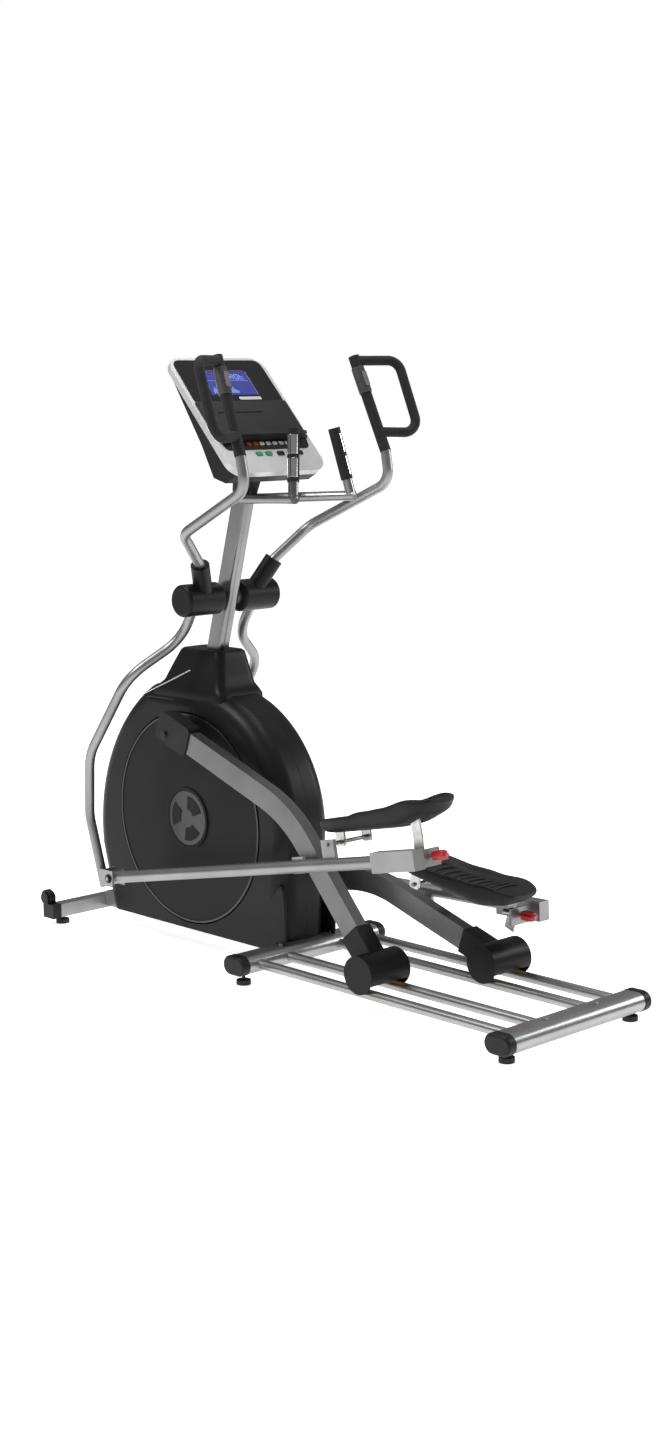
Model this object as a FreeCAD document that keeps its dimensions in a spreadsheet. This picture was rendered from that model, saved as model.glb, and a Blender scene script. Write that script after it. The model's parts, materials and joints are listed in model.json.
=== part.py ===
import FreeCAD, Part
import math
import os
import re
import Sketcher

# Front-drive elliptical trainer. +X is the user's right, +Y is the way the user
# faces, +Z is up. The origin lies on the floor, under the middle of the machine.
V = FreeCAD.Vector
doc = FreeCAD.newDocument("elliptical_trainer")
sheet = doc.addObject("Spreadsheet::Sheet", "Sizes")

# ---------------------------------------------------------------- driving sizes
SIZES = {
    # base
    "overall_length": 2134, "stabilizer_depth": 90, "stabilizer_height": 56,
    "stabilizer_wall": 2.5, "cap_length": 30, "cap_lip": 1.5,
    "rear_half_width": 303, "rear_height": 54, "middle_half_width": 301.5,
    "middle_position": 28, "middle_height": 62, "front_half_width": 216,
    "front_height": 47, "front_tube": 44, "front_cap_length": 34,
    "rail_outer": 224.5, "rail_inner": 105.7, "rail_diameter": 30,
    "foot_diameter": 44, "foot_pad": 14, "foot_stem": 10, "foot_inset": 42,
    "stem_engagement": 12, "wheel_diameter": 54, "wheel_width": 20,
    "wheel_height": 88, "wheel_axle": 8, "ear_thickness": 4,
    "beam_width": 60, "beam_height": 50, "beam_bottom": 34,
    # drive
    "crank_position": 465, "crank_height": 420, "crank_throw": 280,
    "shaft_diameter": 25, "bearing_diameter": 44, "bearing_width": 14,
    "crank_arm_width": 44, "crank_arm_thickness": 10, "disc_diameter": 672,
    "disc_thickness": 14, "hub_ring_diameter": 196, "hub_ring_height": 5,
    "drive_pulley_diameter": 300, "belt_width": 16, "belt_thickness": 3,
    "flywheel_diameter": 250, "flywheel_width": 44, "flywheel_pulley": 50,
    "flywheel_axle": 16, "flywheel_position": 168, "flywheel_height": 330,
    "frame_plate": 5, "frame_gap": 56, "shelf_drop": 12, "shelf_thickness": 15,
    # housing
    "case_half_width": 100, "case_wall": 3, "case_seam": 0.5, "case_bottom": 60,
    "case_rounding": 58, "case_corner": 50, "case_rear_radius": 418, "case_front_radius": 576,
    "collar_bottom": 830, "collar_top": 955, "collar_lower_half": 84,
    "collar_upper_half": 60, "collar_wall": 4,
    # mast and console
    "pivot_position": 376, "pivot_height": 1121, "mast_depth": 75,
    "mast_width": 40, "mast_lean": 15.6, "mast_above": 338, "mast_below": 520,
    "mast_corner": 16, "axle_diameter": 30, "axle_half_length": 184,
    "console_tilt": 47.6, "console_position": 270, "console_level": 1691,
    "console_half_width": 192, "console_upper": 223, "console_lower": 237,
    "bezel_thickness": 20, "console_corner": 52, "back_rounding": 5,
    "back_half_width": 168, "display_half_width": 94,
    "display_lower": 70, "display_upper": 171, "display_thickness": 6,
    "rack_half_width": 182, "rack_upper": 42, "rack_lower": -112,
    "ledge_depth": 24, "ledge_thickness": 10, "key_width": 26, "key_height": 16,
    "key_depth": 6, "key_level": -166, "key_left": -50, "key_right": -12,
    "bar_diameter": 30, "post_foot_spread": 118, "post_foot_position": -62,
    "post_foot_height": 1444, "post_top_spread": 83, "post_top_position": -28,
    "post_top_height": 1638, "pulse_grip_diameter": 36, "pulse_grip_length": 150,
    "grip_overrun": 6, "post_overrun": 12, "nose_spread": 6, "nose_ahead": 10,
    "bar_on_mast": 318, "plate_low": 12, "plate_high": 81, "plate_length": 57,
    "plate_depth": 1.5,
    # swing arms and handles
    "hub_inner_end": 26, "hub_outer_end": 176, "hub_diameter": 52,
    "cover_diameter": 100, "cover_inner_end": 40, "cover_outer_end": 186,
    "collar_diameter": 58, "swing_tube": 31, "side_plane": 248,
    "lower_pin_position": 655, "lower_pin_height": 222, "loop_tube": 18, "loop_foam": 30,
    "grip_foam": 34, "grip_top_spread": 276, "grip_top_position": 83,
    "grip_top_height": 1852, "grip_foot_spread": 294, "grip_foot_position": -33,
    "grip_foot_height": 1570, "clevis_gap": 44, "clevis_plate": 5,
    "clevis_height": 52, "pin_diameter": 12, "remote_length": 82,
    "remote_diameter": 40, "remote_key_length": 46, "remote_key_width": 17,
    "remote_key_height": 4.5, "remote_floor": 0.6, "key_travel": 1.5, "handle_bore": 32,
    # connecting arms
    "lane": 165, "arm_length": 1080, "arm_start_above": 20, "apex_along": 560,
    "apex_above": 150, "apex_bend": 420, "arm_height": 68,
    "arm_width": 40, "knee_along": 722, "knee_pin": 16,
    "arm_cap_width": 50, "arm_cap_length": 150, "arm_cap_overhang": 46,
    "arm_cap_height": 92, "roller_diameter": 76, "roller_width": 27,
    "roller_axle": 14, "roller_cover_diameter": 112, "roller_cover_length": 158,
    "neck_length": 132, "neck_diameter": 74,
    # pedal arms and pedals
    "pedal_tube": 38, "pedal_arm_length": 1370, "box_length": 160,
    "knee_lug_half": 24, "knee_lug_thickness": 10, "knee_lift_left": 0.2,
    "knee_lift_right": -1.4, "worm_along": 1335, "bracket_margin": 2,
    "box_height": 58, "eye_diameter": 42, "tilt_along": 1007,
    "tilt_above": 57, "tilt_pin": 12, "tilt_range": 12.3, "pedal_inner": 54,
    "pedal_outer": 222, "pedal_length": 450, "pedal_ahead": 72, "pedal_heel": 84,
    "pedal_toe": 46, "pedal_clearance": 24, "pedal_rim": 14, "pedal_floor": 12,
    "sector_radius": 321, "sector_band": 40, "sector_drop": 50, "sector_plate": 5,
    "worm_diameter": 20, "worm_length": 52, "knob_diameter": 34,
    "knob_length": 48,
    # housing outline, collar and frame plates
    "case_floor_front": 884, "case_front": 940, "case_front_level": 270,
    "case_top_front": 660, "case_top_rear": 346, "case_rear": 19,
    "case_rear_level": 330, "case_floor_rear": 34, "neck_rear": 345,
    "neck_front": 585, "neck_depth": 60, "neck_clearance": 4, "slot_rear": 820,
    "slot_front": 960, "collar_lower_rear": 326, "collar_lower_front": 606,
    "collar_upper_rear": 345, "collar_upper_front": 545, "plate_setback": 40,
    "plate_margin": 12, "plate_grip": 90, "plate_above": 60, "plate_behind": 50,
    "magnet_behind": 40, "magnet_ahead": 30, "magnet_height": 30, "magnet_gap": 4,
    "crank_arm_tip": 30, "hub_ring_width": 9, "belt_clearance": 5,
    "pulley_flange": 2, "axle_overhang": 10, "cap_rounding": 8,
    "bolt_diameter": 16, "bolt_head": 5,
    # console back, seen from the side
    "back_inset": 8, "back_top_inset": 14, "back_top_depth": 14,
    "back_middle": 60, "back_middle_depth": 56, "back_low": 70,
    "back_low_depth": 82, "back_heel": 22, "back_heel_depth": 52,
    # bends of the swing arms and handles
    "hip_spread": 122, "hip_ahead": 6, "hip_drop": 10, "thigh_spread": 118,
    "thigh_ahead": 80, "thigh_drop": 128, "bow_spread": 272, "bow_ahead": 160,
    "bow_drop": 240, "shin_spread": 22, "shin_ahead": 88, "shin_rise": 390,
    "calf_spread": 16, "calf_ahead": 104, "calf_rise": 190, "toe_ahead": 54,
    "toe_drop": 38, "swing_bend": 150, "clevis_reach": 66, "clevis_behind": 20,
    "web_thickness": 8, "web_ahead": 24, "pin_inner_end": 4, "pin_outer_end": 7,
    "neck_spread": 152, "neck_behind": 54, "neck_rise": 112, "root_spread": 104,
    "root_behind": 12, "root_rise": 18, "flare_spread": 258, "flare_behind": 104,
    "flare_rise": 212, "wrist_behind": 18, "wrist_drop": 92, "handle_bend": 70,
    "loop_start": 4, "loop_lowering": 9, "loop_top_reach": 128,
    "loop_top_behind": 62, "loop_low_reach": 118, "loop_low_behind": 30,
    "loop_low_rise": 54, "loop_end_ahead": 22, "loop_end_rise": 58,
    "loop_bend": 42, "remote_below": 34, "cover_rounding": 10,
    # details of the arms and pedals
    "arm_stub_radius": 30, "arm_cap_rounding": 18, "cover_wall": 3,
    "neck_cheek": 9, "window_half": 75, "window_depth": 90, "window_top": 24,
    "rear_window_top": 8, "post_half": 26, "post_margin": 14,
    "post_thickness": 12, "worm_plate_inner": 30, "worm_plate_depth": 8,
    "worm_offset": 6, "knob_gap": 18, "toe_slope": 12, "ball_back": 150,
    "ball_rise": 4, "heel_flat": 70, "heel_slope": 14, "heel_lip": 38,
    "heel_belly": 90, "pedal_rounding": 6, "floor_rise": 14, "toe_wall": 18,
    "room_height": 200, "heel_wall": 34, "heel_depth": 22, "lug_inset": 30,
    "lug_thickness": 8, "lug_half": 18, "lug_drop": 12, "lug_rise": 6,
    "sector_offset": 20, "sector_reach": 60, "sector_rise": 50,
    # clearances
    "running_gap": 0.05, "face_gap": 0.5, "pulley_gap": 0.4, "disc_gap": 4,
}

for row, (alias, number) in enumerate(SIZES.items(), start=1):
    sheet.set(f"A{row}", alias.replace("_", " "))
    sheet.set(f"B{row}", str(number))
    sheet.setAlias(f"B{row}", alias)
doc.recompute()

nodes = []


def bound(text):
    """The expression text with every size's alias pointing at the sheet."""
    def to_cell(word):
        return "Sizes." + word.group() if word.group() in SIZES else word.group()
    return re.sub(r"[a-z][a-z_0-9]*", to_cell, str(text))


def size(text):
    """The present value of an expression in the sheet's aliases."""
    return float(sheet.evalExpression(bound(text)))


def point(*coordinates):
    return V(*[size(text) for text in coordinates])


def keep(label, thing):
    """Marks an object as a finished node."""
    thing.Label = label
    nodes.append(thing)
    return thing


# ------------------------------------------------------------ building functions
def bind(thing, **values):
    for name, text in values.items():
        thing.setExpression(name, bound(text))


def move(thing, x=0, y=0, z=0):
    for axis, text in zip("xyz", (x, y, z)):
        thing.setExpression(f".Placement.Base.{axis}", bound(text))


def box(name, x, y, z):
    """A block from three (low, high) pairs of expressions."""
    block = doc.addObject("Part::Box", name)
    bind(block, Length=f"({x[1]}) - ({x[0]})", Width=f"({y[1]}) - ({y[0]})",
         Height=f"({z[1]}) - ({z[0]})")
    move(block, x[0], y[0], z[0])
    return block


def rod(name, along, radius, start, end, a, b):
    """A cylinder along X, Y or Z from start to end; a and b place its axis."""
    turns = {"X": (V(0, 1, 0), 90), "Y": (V(1, 0, 0), -90), "Z": (V(0, 0, 1), 0)}
    places = {"X": (start, a, b), "Y": (a, start, b), "Z": (a, b, start)}
    cylinder = doc.addObject("Part::Cylinder", name)
    cylinder.Placement.Rotation = FreeCAD.Rotation(*turns[along])
    bind(cylinder, Radius=radius, Height=f"({end}) - ({start})")
    move(cylinder, *places[along])
    return cylinder


def join(name, pieces):
    fused = doc.addObject("Part::MultiFuse", name)
    fused.Shapes = pieces
    return fused


def group(name, pieces):
    """Separate solids of one node."""
    compound = doc.addObject("Part::Compound", name)
    compound.Links = pieces
    return compound


def cut(name, base, tools):
    tool = tools[0] if len(tools) == 1 else join(name + "_tools", tools)
    result = doc.addObject("Part::Cut", name)
    result.Base = base
    result.Tool = tool
    return result


def turn_about(thing, axis, angle, y, z):
    """Turns a thing drawn about the origin, then sets it at (0, y, z)."""
    thing.Placement = FreeCAD.Placement(V(0, y, z), FreeCAD.Rotation(axis, angle))
    return thing


def new_body(name):
    return doc.addObject("PartDesign::Body", name)


def new_sketch(body, role, offset):
    sketch = body.newObject("Sketcher::SketchObject", body.Name + "_sketch")
    plane = next(f for f in body.Origin.OriginFeatures if f.Role == role)
    sketch.AttachmentSupport = (plane, [""])
    sketch.MapMode = "FlatFace"
    sketch.setExpression(".AttachmentOffset.Base.z", bound(offset))
    return sketch


def pin_down(sketch, geometry, vertex, across, up):
    """Ties a vertex to the sketch's origin by two expressions."""
    for kind, text, axis in (("DistanceX", across, -2), ("DistanceY", up, -1)):
        if abs(size(text)) < 1e-6:
            sketch.addConstraint(Sketcher.Constraint("PointOnObject", geometry, vertex, axis))
            continue
        rule = Sketcher.Constraint(kind, -1, 1, geometry, vertex, size(text))
        index = sketch.addConstraint(rule)
        sketch.setExpression(f"Constraints[{index}]", bound(text))


def draw_outline(sketch, corners):
    """A closed outline. A corner is (across, up), or (across, up, radius) where an
    arc that bulges to the right of the way of travel leads to the next corner,
    or (across, up, "half") where half a circle leads straight up or down."""
    spots = [point(c[0], c[1], 0) for c in corners]
    first = sketch.GeometryCount
    for i, corner in enumerate(corners):
        a, b = spots[i], spots[(i + 1) % len(corners)]
        if len(corner) == 2:
            sketch.addGeometry(Part.LineSegment(a, b))
            continue
        middle = (a + b) / 2
        half_chord = (b - a).Length / 2
        radius = half_chord if corner[2] == "half" else size(corner[2])
        side = V(b.y - a.y, a.x - b.x, 0).normalize() * (1 if radius > 0 else -1)
        radius = abs(radius)
        sagitta = radius - math.sqrt(max(radius ** 2 - half_chord ** 2, 0))
        arc = Part.ArcOfCircle(a, middle + side * sagitta, b)
        if arc.Axis.z < 0:
            arc = Part.ArcOfCircle(b, middle + side * sagitta, a)
        sketch.addGeometry(arc)
    starts = []
    for i in range(len(corners)):
        piece = sketch.Geometry[first + i]
        begins = (piece.StartPoint - spots[i]).Length < 1e-4
        starts.append(1 if begins else 2)
    for i, corner in enumerate(corners):
        after = (i + 1) % len(corners)
        far_end = 3 - starts[i]
        sketch.addConstraint(Sketcher.Constraint(
            "Coincident", first + i, far_end, first + after, starts[after]))
        pin_down(sketch, first + i, starts[i], corner[0], corner[1])
        if corner[2:] == ("half",):
            rule = Sketcher.Constraint("DistanceX", -1, 1, first + i, 3, size(corner[0]))
            index = sketch.addConstraint(rule)
            sketch.setExpression(f"Constraints[{index}]", bound(corner[0]))
        elif len(corner) == 3:
            index = sketch.addConstraint(Sketcher.Constraint(
                "Radius", first + i, abs(size(corner[2]))))
            sketch.setExpression(f"Constraints[{index}]", bound(f"abs({corner[2]})"))


def draw_circle(sketch, across, up, radius):
    spot = point(across, up, 0)
    index = sketch.addGeometry(Part.Circle(spot, V(0, 0, 1), size(radius)))
    pin_down(sketch, index, 3, across, up)
    rule = sketch.addConstraint(Sketcher.Constraint("Radius", index, size(radius)))
    sketch.setExpression(f"Constraints[{rule}]", bound(radius))


def pad(body, sketch, length):
    feature = body.newObject("PartDesign::Pad", body.Name + "_pad")
    feature.Profile = sketch
    bind(feature, Length=length)
    sketch.Visibility = False
    return feature


def pocket(body, sketch, length):
    """Cuts towards the sketch's own normal and checks that it cut something."""
    doc.recompute()
    before = body.Shape.Volume
    feature = body.newObject("PartDesign::Pocket", body.Name + "_pocket")
    feature.Profile = sketch
    feature.Reversed = True
    bind(feature, Length=length)
    doc.recompute()
    if body.Shape.Volume > before - 1e-3:
        raise ValueError(f"{body.Name}: a pocket cuts nothing")
    return feature


def plate(name, corners, start, length, role="YZ_Plane"):
    """A body padded from an outline; start and length run along the normal."""
    body = new_body(name)
    sketch = new_sketch(body, role, start)
    draw_outline(sketch, corners)
    pad(body, sketch, length)
    return body


def round_edges(body, radius, wanted):
    """Rounds the edges of the body's present shape that wanted() picks."""
    doc.recompute()
    base = body.Tip
    names = [f"Edge{i}" for i, edge in enumerate(base.Shape.Edges, 1) if wanted(edge)]
    feature = body.newObject("PartDesign::Fillet", body.Name + "_fillet")
    feature.Base = (base, names)
    bind(feature, Radius=radius)
    return feature


def runs_along(axis):
    """Picks straight edges parallel to an axis."""
    def wanted(edge):
        straight = edge.Curve.TypeId == "Part::GeomLine"
        return straight and abs(edge.tangentAt(edge.FirstParameter).dot(axis)) > 0.999
    return wanted


def bent_path(stops, bend):
    """Straight runs through the stops, joined by arcs tangent to both runs."""
    edges = []
    last = stops[0]
    for before, corner, after in zip(stops, stops[1:], stops[2:]):
        back = (before - corner).normalize()
        ahead = (after - corner).normalize()
        half = back.getAngle(ahead) / 2
        reach = min(bend / math.tan(half), 0.47 * (before - corner).Length,
                    0.47 * (after - corner).Length)
        inward = (back + ahead).normalize()
        radius = reach * math.tan(half)
        middle = corner + inward * (radius / math.sin(half) - radius)
        edges.append(Part.LineSegment(last, corner + back * reach).toShape())
        edges.append(Part.Arc(corner + back * reach, middle, corner + ahead * reach).toShape())
        last = corner + ahead * reach
    edges.append(Part.LineSegment(last, stops[-1]).toShape())
    return Part.Wire(edges)


def bent_bar(stops, diameter, bend):
    """A round bar along a bent path, in place."""
    path = bent_path(stops, bend)
    start = path.Edges[0]
    ring = Part.Circle(stops[0], start.tangentAt(start.FirstParameter), diameter / 2)
    return path.makePipeShell([Part.Wire([ring.toShape()])], True, False)


def feature(name, shape):
    """A node or tool whose shape comes from Part's own functions."""
    thing = doc.addObject("Part::Feature", name)
    thing.Shape = shape
    return thing


def sided(side, text):
    """An X expression on the left (-1) or right (+1) side."""
    return f"{side} * ({text})"


def span(side, near, far):
    """The (low, high) pair for a stretch between two distances from the middle."""
    if side > 0:
        return (near, far)
    return (f"-({far})", f"-({near})")


SIDES = {"left": -1, "right": 1}
REAR = "(-(overall_length - stabilizer_depth) / 2 + cap_lip)"
WHEEL_AT = "(overall_length - wheel_diameter) / 2"
FRONT = f"{WHEEL_AT} - front_tube / 2 - 4"

# ------------------------------------------------------------------------- base


def oval(sketch, y, z, grow):
    """A flattened oval section, as wide as a stabilizer plus grow all round."""
    half = f"(stabilizer_height / 2 + {grow})"
    reach = "(stabilizer_depth / 2 - stabilizer_height / 2)"
    draw_outline(sketch, [
        (f"{y} - {reach}", f"{z} - {half}"),
        (f"{y} + {reach}", f"{z} - {half}", "half"),
        (f"{y} + {reach}", f"{z} + {half}"),
        (f"{y} - {reach}", f"{z} + {half}", "half"),
    ])


def stabilizer(name, y, z, half_width):
    """A hollow oval cross tube that lies along X."""
    body = new_body(name)
    sketch = new_sketch(body, "YZ_Plane", f"-({half_width} - cap_length)")
    oval(sketch, y, z, "0")
    pad(body, sketch, f"2 * ({half_width} - cap_length)")
    hollow = new_sketch(body, "YZ_Plane", f"-({half_width} - cap_length)")
    oval(hollow, y, z, "-stabilizer_wall")
    pocket(body, hollow, f"2 * ({half_width} - cap_length)")
    return body


def stabilizer_cap(name, y, z, half_width, side):
    """The moulded end of an oval cross tube."""
    body = new_body(name)
    start = f"{half_width} - cap_length"
    sketch = new_sketch(body, "YZ_Plane", start if side > 0 else f"-({half_width})")
    oval(sketch, y, z, "cap_lip")
    pad(body, sketch, "cap_length")
    outer = side * size(half_width)

    def end_face(edge):
        return all(abs(v.X - outer) < 0.01 for v in edge.Vertexes)
    round_edges(body, "cap_rounding", end_face)
    return body


def foot(name, x, y, tube_bottom):
    """A rubber pad on a threaded stem."""
    rubber = rod(name + "_rubber", "Z", "foot_diameter / 2", "0", "foot_pad", x, y)
    stem = rod(name + "_stem", "Z", "foot_stem / 2", "foot_pad",
               f"{tube_bottom} + stem_engagement", x, y)
    return join(name, [rubber, stem])


def stem_hole(name, x, y, tube_bottom):
    return rod(name, "Z", "foot_stem / 2 + running_gap", f"{tube_bottom} - 5",
               f"{tube_bottom} + stem_engagement + 1", x, y)


rear_bottom = "(rear_height - stabilizer_height / 2)"
middle_bottom = "(middle_height - stabilizer_height / 2)"
front_bottom = "(front_height - front_tube / 2)"
rear_tube = stabilizer("rear_tube", REAR, "rear_height", "rear_half_width")
middle_tube = stabilizer("middle_tube", "middle_position", "middle_height",
                         "middle_half_width")
front_tube = box("front_tube", span(1, "-front_half_width", "front_half_width"),
                 (f"{FRONT} - front_tube / 2", f"{FRONT} + front_tube / 2"),
                 (front_bottom, "front_height + front_tube / 2"))

rear_holes = []
middle_holes = []
front_holes = []
fixed_feet = []
for word, side in SIDES.items():
    rear_x = sided(side, "rear_half_width - foot_inset")
    middle_x = sided(side, "middle_half_width - foot_inset")
    front_x = sided(side, "front_half_width - foot_inset / 2")
    keep(f"rear_foot_{word}", foot(f"rear_foot_{word}", rear_x, REAR, rear_bottom))
    rear_holes.append(stem_hole(f"rear_hole_{word}", rear_x, REAR, rear_bottom))
    fixed_feet.append(foot(f"middle_foot_{word}", middle_x, "middle_position", middle_bottom))
    middle_holes.append(stem_hole(f"middle_hole_{word}", middle_x, "middle_position",
                                  middle_bottom))
    fixed_feet.append(foot(f"front_foot_{word}", front_x, FRONT, front_bottom))
    front_holes.append(stem_hole(f"front_hole_{word}", front_x, FRONT, front_bottom))
keep("rear_stabilizer", cut("rear_stabilizer", rear_tube, rear_holes))
keep("middle_stabilizer", cut("middle_stabilizer", middle_tube, middle_holes))
keep("front_stabilizer", cut("front_stabilizer", front_tube, front_holes))
keep("fixed_feet", group("fixed_feet", fixed_feet))

rails = []
for word, side in SIDES.items():
    for place in ("rail_outer", "rail_inner"):
        rail = rod(f"{place}_{word}_bar", "Y", "rail_diameter / 2", REAR,
                   "middle_position", sided(side, place), "middle_height")
        core = box(f"{place}_{word}_rear_core", ("-400", "400"),
                   (f"{REAR} - 40", f"{REAR} + stabilizer_depth / 4"), ("0", "150"))
        front_core = box(f"{place}_{word}_front_core", ("-400", "400"),
                         ("middle_position - stabilizer_depth / 4", "middle_position + 40"),
                         ("0", "150"))
        rails.append(cut(f"{place}_{word}", rail, [core, front_core, rear_tube, middle_tube]))
keep("rail_tubes", group("rail_tubes", rails))


def front_cap(name, side):
    """A cap that closes the front tube and carries a wheel between two ears."""
    inner = "front_half_width"
    outer = "front_half_width + front_cap_length"
    block = box(name + "_block", span(side, inner, outer),
                (f"{FRONT} - front_tube / 2 - cap_lip", f"{WHEEL_AT} + 6"),
                (f"{front_bottom} - cap_lip", "front_height + front_tube / 2 + cap_lip"))
    pieces = [block]
    for near, far in ((inner, f"{inner} + ear_thickness"),
                      (f"{outer} - ear_thickness", outer)):
        start, end = span(side, near, far)
        pieces.append(rod(name + "_ear", "X", "wheel_diameter / 2 - 8", start, end,
                          WHEEL_AT, "wheel_height"))
        pieces.append(box(name + "_ear_foot", (start, end),
                          (f"{WHEEL_AT} - wheel_diameter / 2 + 8",
                           f"{WHEEL_AT} + 6"),
                          ("front_height", "wheel_height")))
    start, end = span(side, f"{inner} + ear_thickness", f"{outer} - ear_thickness")
    room = rod(name + "_room", "X", "wheel_diameter / 2 + 2", start, end,
               WHEEL_AT, "wheel_height")
    shell = cut(name + "_shell", join(name + "_solid", pieces), [room])
    start, end = span(side, inner, outer)
    axle = rod(name + "_axle", "X", "wheel_axle / 2", start, end, WHEEL_AT, "wheel_height")
    return join(name, [shell, axle])


caps = []
for word, side in SIDES.items():
    caps.append(stabilizer_cap(f"rear_cap_{word}", REAR, "rear_height",
                               "rear_half_width", side))
    caps.append(stabilizer_cap(f"middle_cap_{word}", "middle_position", "middle_height",
                               "middle_half_width", side))
    caps.append(front_cap(f"front_cap_{word}", side))
    middle_of_wheel = "front_half_width + front_cap_length / 2"
    start, end = span(side, f"{middle_of_wheel} - wheel_width / 2",
                      f"{middle_of_wheel} + wheel_width / 2")
    tyre = rod(f"tyre_{word}", "X", "wheel_diameter / 2", start, end, WHEEL_AT,
               "wheel_height")
    hole = rod(f"tyre_hole_{word}", "X", "wheel_axle / 2 + running_gap",
               f"{start} - 5", f"{end} + 5", WHEEL_AT, "wheel_height")
    keep(f"transport_wheel_{word}", cut(f"transport_wheel_{word}", tyre, [hole]))
keep("end_caps", group("end_caps", caps))

# ------------------------------------------------------------- frame and drive
CRANK = ("crank_position", "crank_height")
FLYWHEEL = ("flywheel_position", "flywheel_height")
mast_foot_y = "pivot_position + mast_below * sin(mast_lean)"
mast_foot_z = "(pivot_height - mast_below * cos(mast_lean))"
beam_top = "beam_bottom + beam_height"


def side_plate(name, start):
    """One of the two frame plates that hold the crank, flywheel and mast."""
    body = plate(name, [
        ("middle_position + plate_setback", beam_top),
        (f"{mast_foot_y} + mast_depth", beam_top),
        (f"{mast_foot_y} + mast_depth / 2 + plate_margin", f"{mast_foot_z} + plate_grip"),
        (f"{mast_foot_y} - mast_depth / 2 - plate_margin", f"{mast_foot_z} + plate_grip"),
        ("flywheel_position + magnet_behind", "flywheel_height + flywheel_diameter / 2 + plate_above"),
        ("flywheel_position - plate_behind", "flywheel_height + flywheel_diameter / 2 + plate_above"),
    ], start, "frame_plate")
    for (y, z), radius in ((CRANK, "bearing_diameter / 2"),
                           (FLYWHEEL, "flywheel_axle / 2 + running_gap")):
        hole = new_sketch(body, "YZ_Plane", start)
        draw_circle(hole, y, z, radius)
        pocket(body, hole, "frame_plate")
    return body


frame_pieces = [
    box("base_beam", ("-beam_width / 2", "beam_width / 2"),
        ("middle_position + stabilizer_depth / 2", f"{FRONT} - front_tube / 2"),
        ("beam_bottom", beam_top)),
    side_plate("frame_plate_left", "-frame_gap / 2 - frame_plate"),
    side_plate("frame_plate_right", "frame_gap / 2"),
    box("mast_shelf", ("-frame_gap / 2", "frame_gap / 2"),
        (f"{mast_foot_y} - mast_depth / 2", f"{mast_foot_y} + mast_depth / 2"),
        (f"{mast_foot_z} - shelf_drop - shelf_thickness", f"{mast_foot_z} - shelf_drop")),
]
keep("main_frame", join("main_frame", frame_pieces))


def ring(name, along, outer, inner, start, end, a, b):
    """A round collar with a bore."""
    bore = rod(name + "_bore", along, inner, f"{start} - 1", f"{end} + 1", a, b)
    return cut(name, rod(name + "_body", along, outer, start, end, a, b), [bore])


bearings = []
for word, side in SIDES.items():
    start, end = span(side, "frame_gap / 2 - bearing_width / 2",
                      "frame_gap / 2 + bearing_width / 2")
    bearings.append(ring(f"crank_bearing_{word}", "X", "bearing_diameter / 2",
                         "shaft_diameter / 2 + running_gap", start, end, *CRANK))
keep("crank_bearings", group("crank_bearings", bearings))

disc_inside = "case_half_width - disc_thickness"
shaft_pieces = [rod("crank_shaft_bar", "X", "shaft_diameter / 2", f"-({disc_inside})",
                    disc_inside, *CRANK)]
for word, side in SIDES.items():
    low, high = ("-crank_arm_width / 2", "crank_throw + crank_arm_tip")
    if side > 0:
        low, high = ("-crank_throw - crank_arm_tip", "crank_arm_width / 2")
    shaft_pieces.append(box(
        f"crank_arm_{word}", span(side, f"{disc_inside} - crank_arm_thickness", disc_inside),
        ("crank_position - crank_arm_width / 2", "crank_position + crank_arm_width / 2"),
        (f"crank_height + {low}", f"crank_height + {high}")))
keep("crank_shaft", join("crank_shaft", shaft_pieces))

for word, side in SIDES.items():
    face = "case_half_width"
    start, end = span(side, disc_inside, face)
    disc = rod(f"disc_{word}_plate", "X", "disc_diameter / 2", start, end, *CRANK)
    start, end = span(side, face, f"{face} + hub_ring_height")
    rim = ring(f"disc_{word}_rim", "X", "hub_ring_diameter / 2",
               "hub_ring_diameter / 2 - hub_ring_width", start, end, *CRANK)
    keep(f"crank_disc_{word}", join(f"crank_disc_{word}", [disc, rim]))

belt_in = "-frame_gap / 2 - frame_plate - belt_clearance"
belt_out = f"{belt_in} - belt_width - 2 * pulley_flange"
wide_start = f"{belt_out} - pulley_flange"
wide_end = f"{belt_in} + pulley_flange"
drive_disc = ring("drive_pulley_disc", "X", "drive_pulley_diameter / 2",
                  "shaft_diameter / 2", wide_start, wide_end, *CRANK)
keep("drive_pulley", drive_disc)
start, end = ("-flywheel_width / 2", "flywheel_width / 2")
keep("flywheel", join("flywheel", [
    rod("flywheel_rim", "X", "flywheel_diameter / 2", start, end, *FLYWHEEL),
    rod("flywheel_shaft", "X", "flywheel_axle / 2", wide_start,
        "frame_gap / 2 + frame_plate + axle_overhang", *FLYWHEEL),
    rod("flywheel_pulley_disc", "X", "flywheel_pulley / 2", wide_start, wide_end, *FLYWHEEL),
]))


def belt_wire(grow):
    """The loop round both pulleys, grown outwards."""
    big = point(0, *CRANK)
    small = point(0, *FLYWHEEL)
    outer = size("drive_pulley_diameter / 2 + pulley_gap") + grow
    inner = size("flywheel_pulley / 2 + pulley_gap") + grow
    line = small - big
    lead = math.atan2(line.z, line.y)
    spread = math.acos((outer - inner) / line.Length)

    def on(centre, radius, angle):
        return centre + V(0, math.cos(angle), math.sin(angle)) * radius
    return Part.Wire([
        Part.LineSegment(on(big, outer, lead + spread), on(small, inner, lead + spread)).toShape(),
        Part.Arc(on(small, inner, lead + spread), on(small, inner, lead),
                 on(small, inner, lead - spread)).toShape(),
        Part.LineSegment(on(small, inner, lead - spread), on(big, outer, lead - spread)).toShape(),
        Part.Arc(on(big, outer, lead - spread), on(big, outer, lead + math.pi),
                 on(big, outer, lead + spread)).toShape(),
    ])


def belt_block(grow):
    width = V(size("belt_width"), 0, 0)
    loop = Part.Face(belt_wire(grow)).extrude(width)
    loop.translate(V(size(f"{belt_in} - pulley_flange") - width.x, 0, 0))
    return loop


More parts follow.
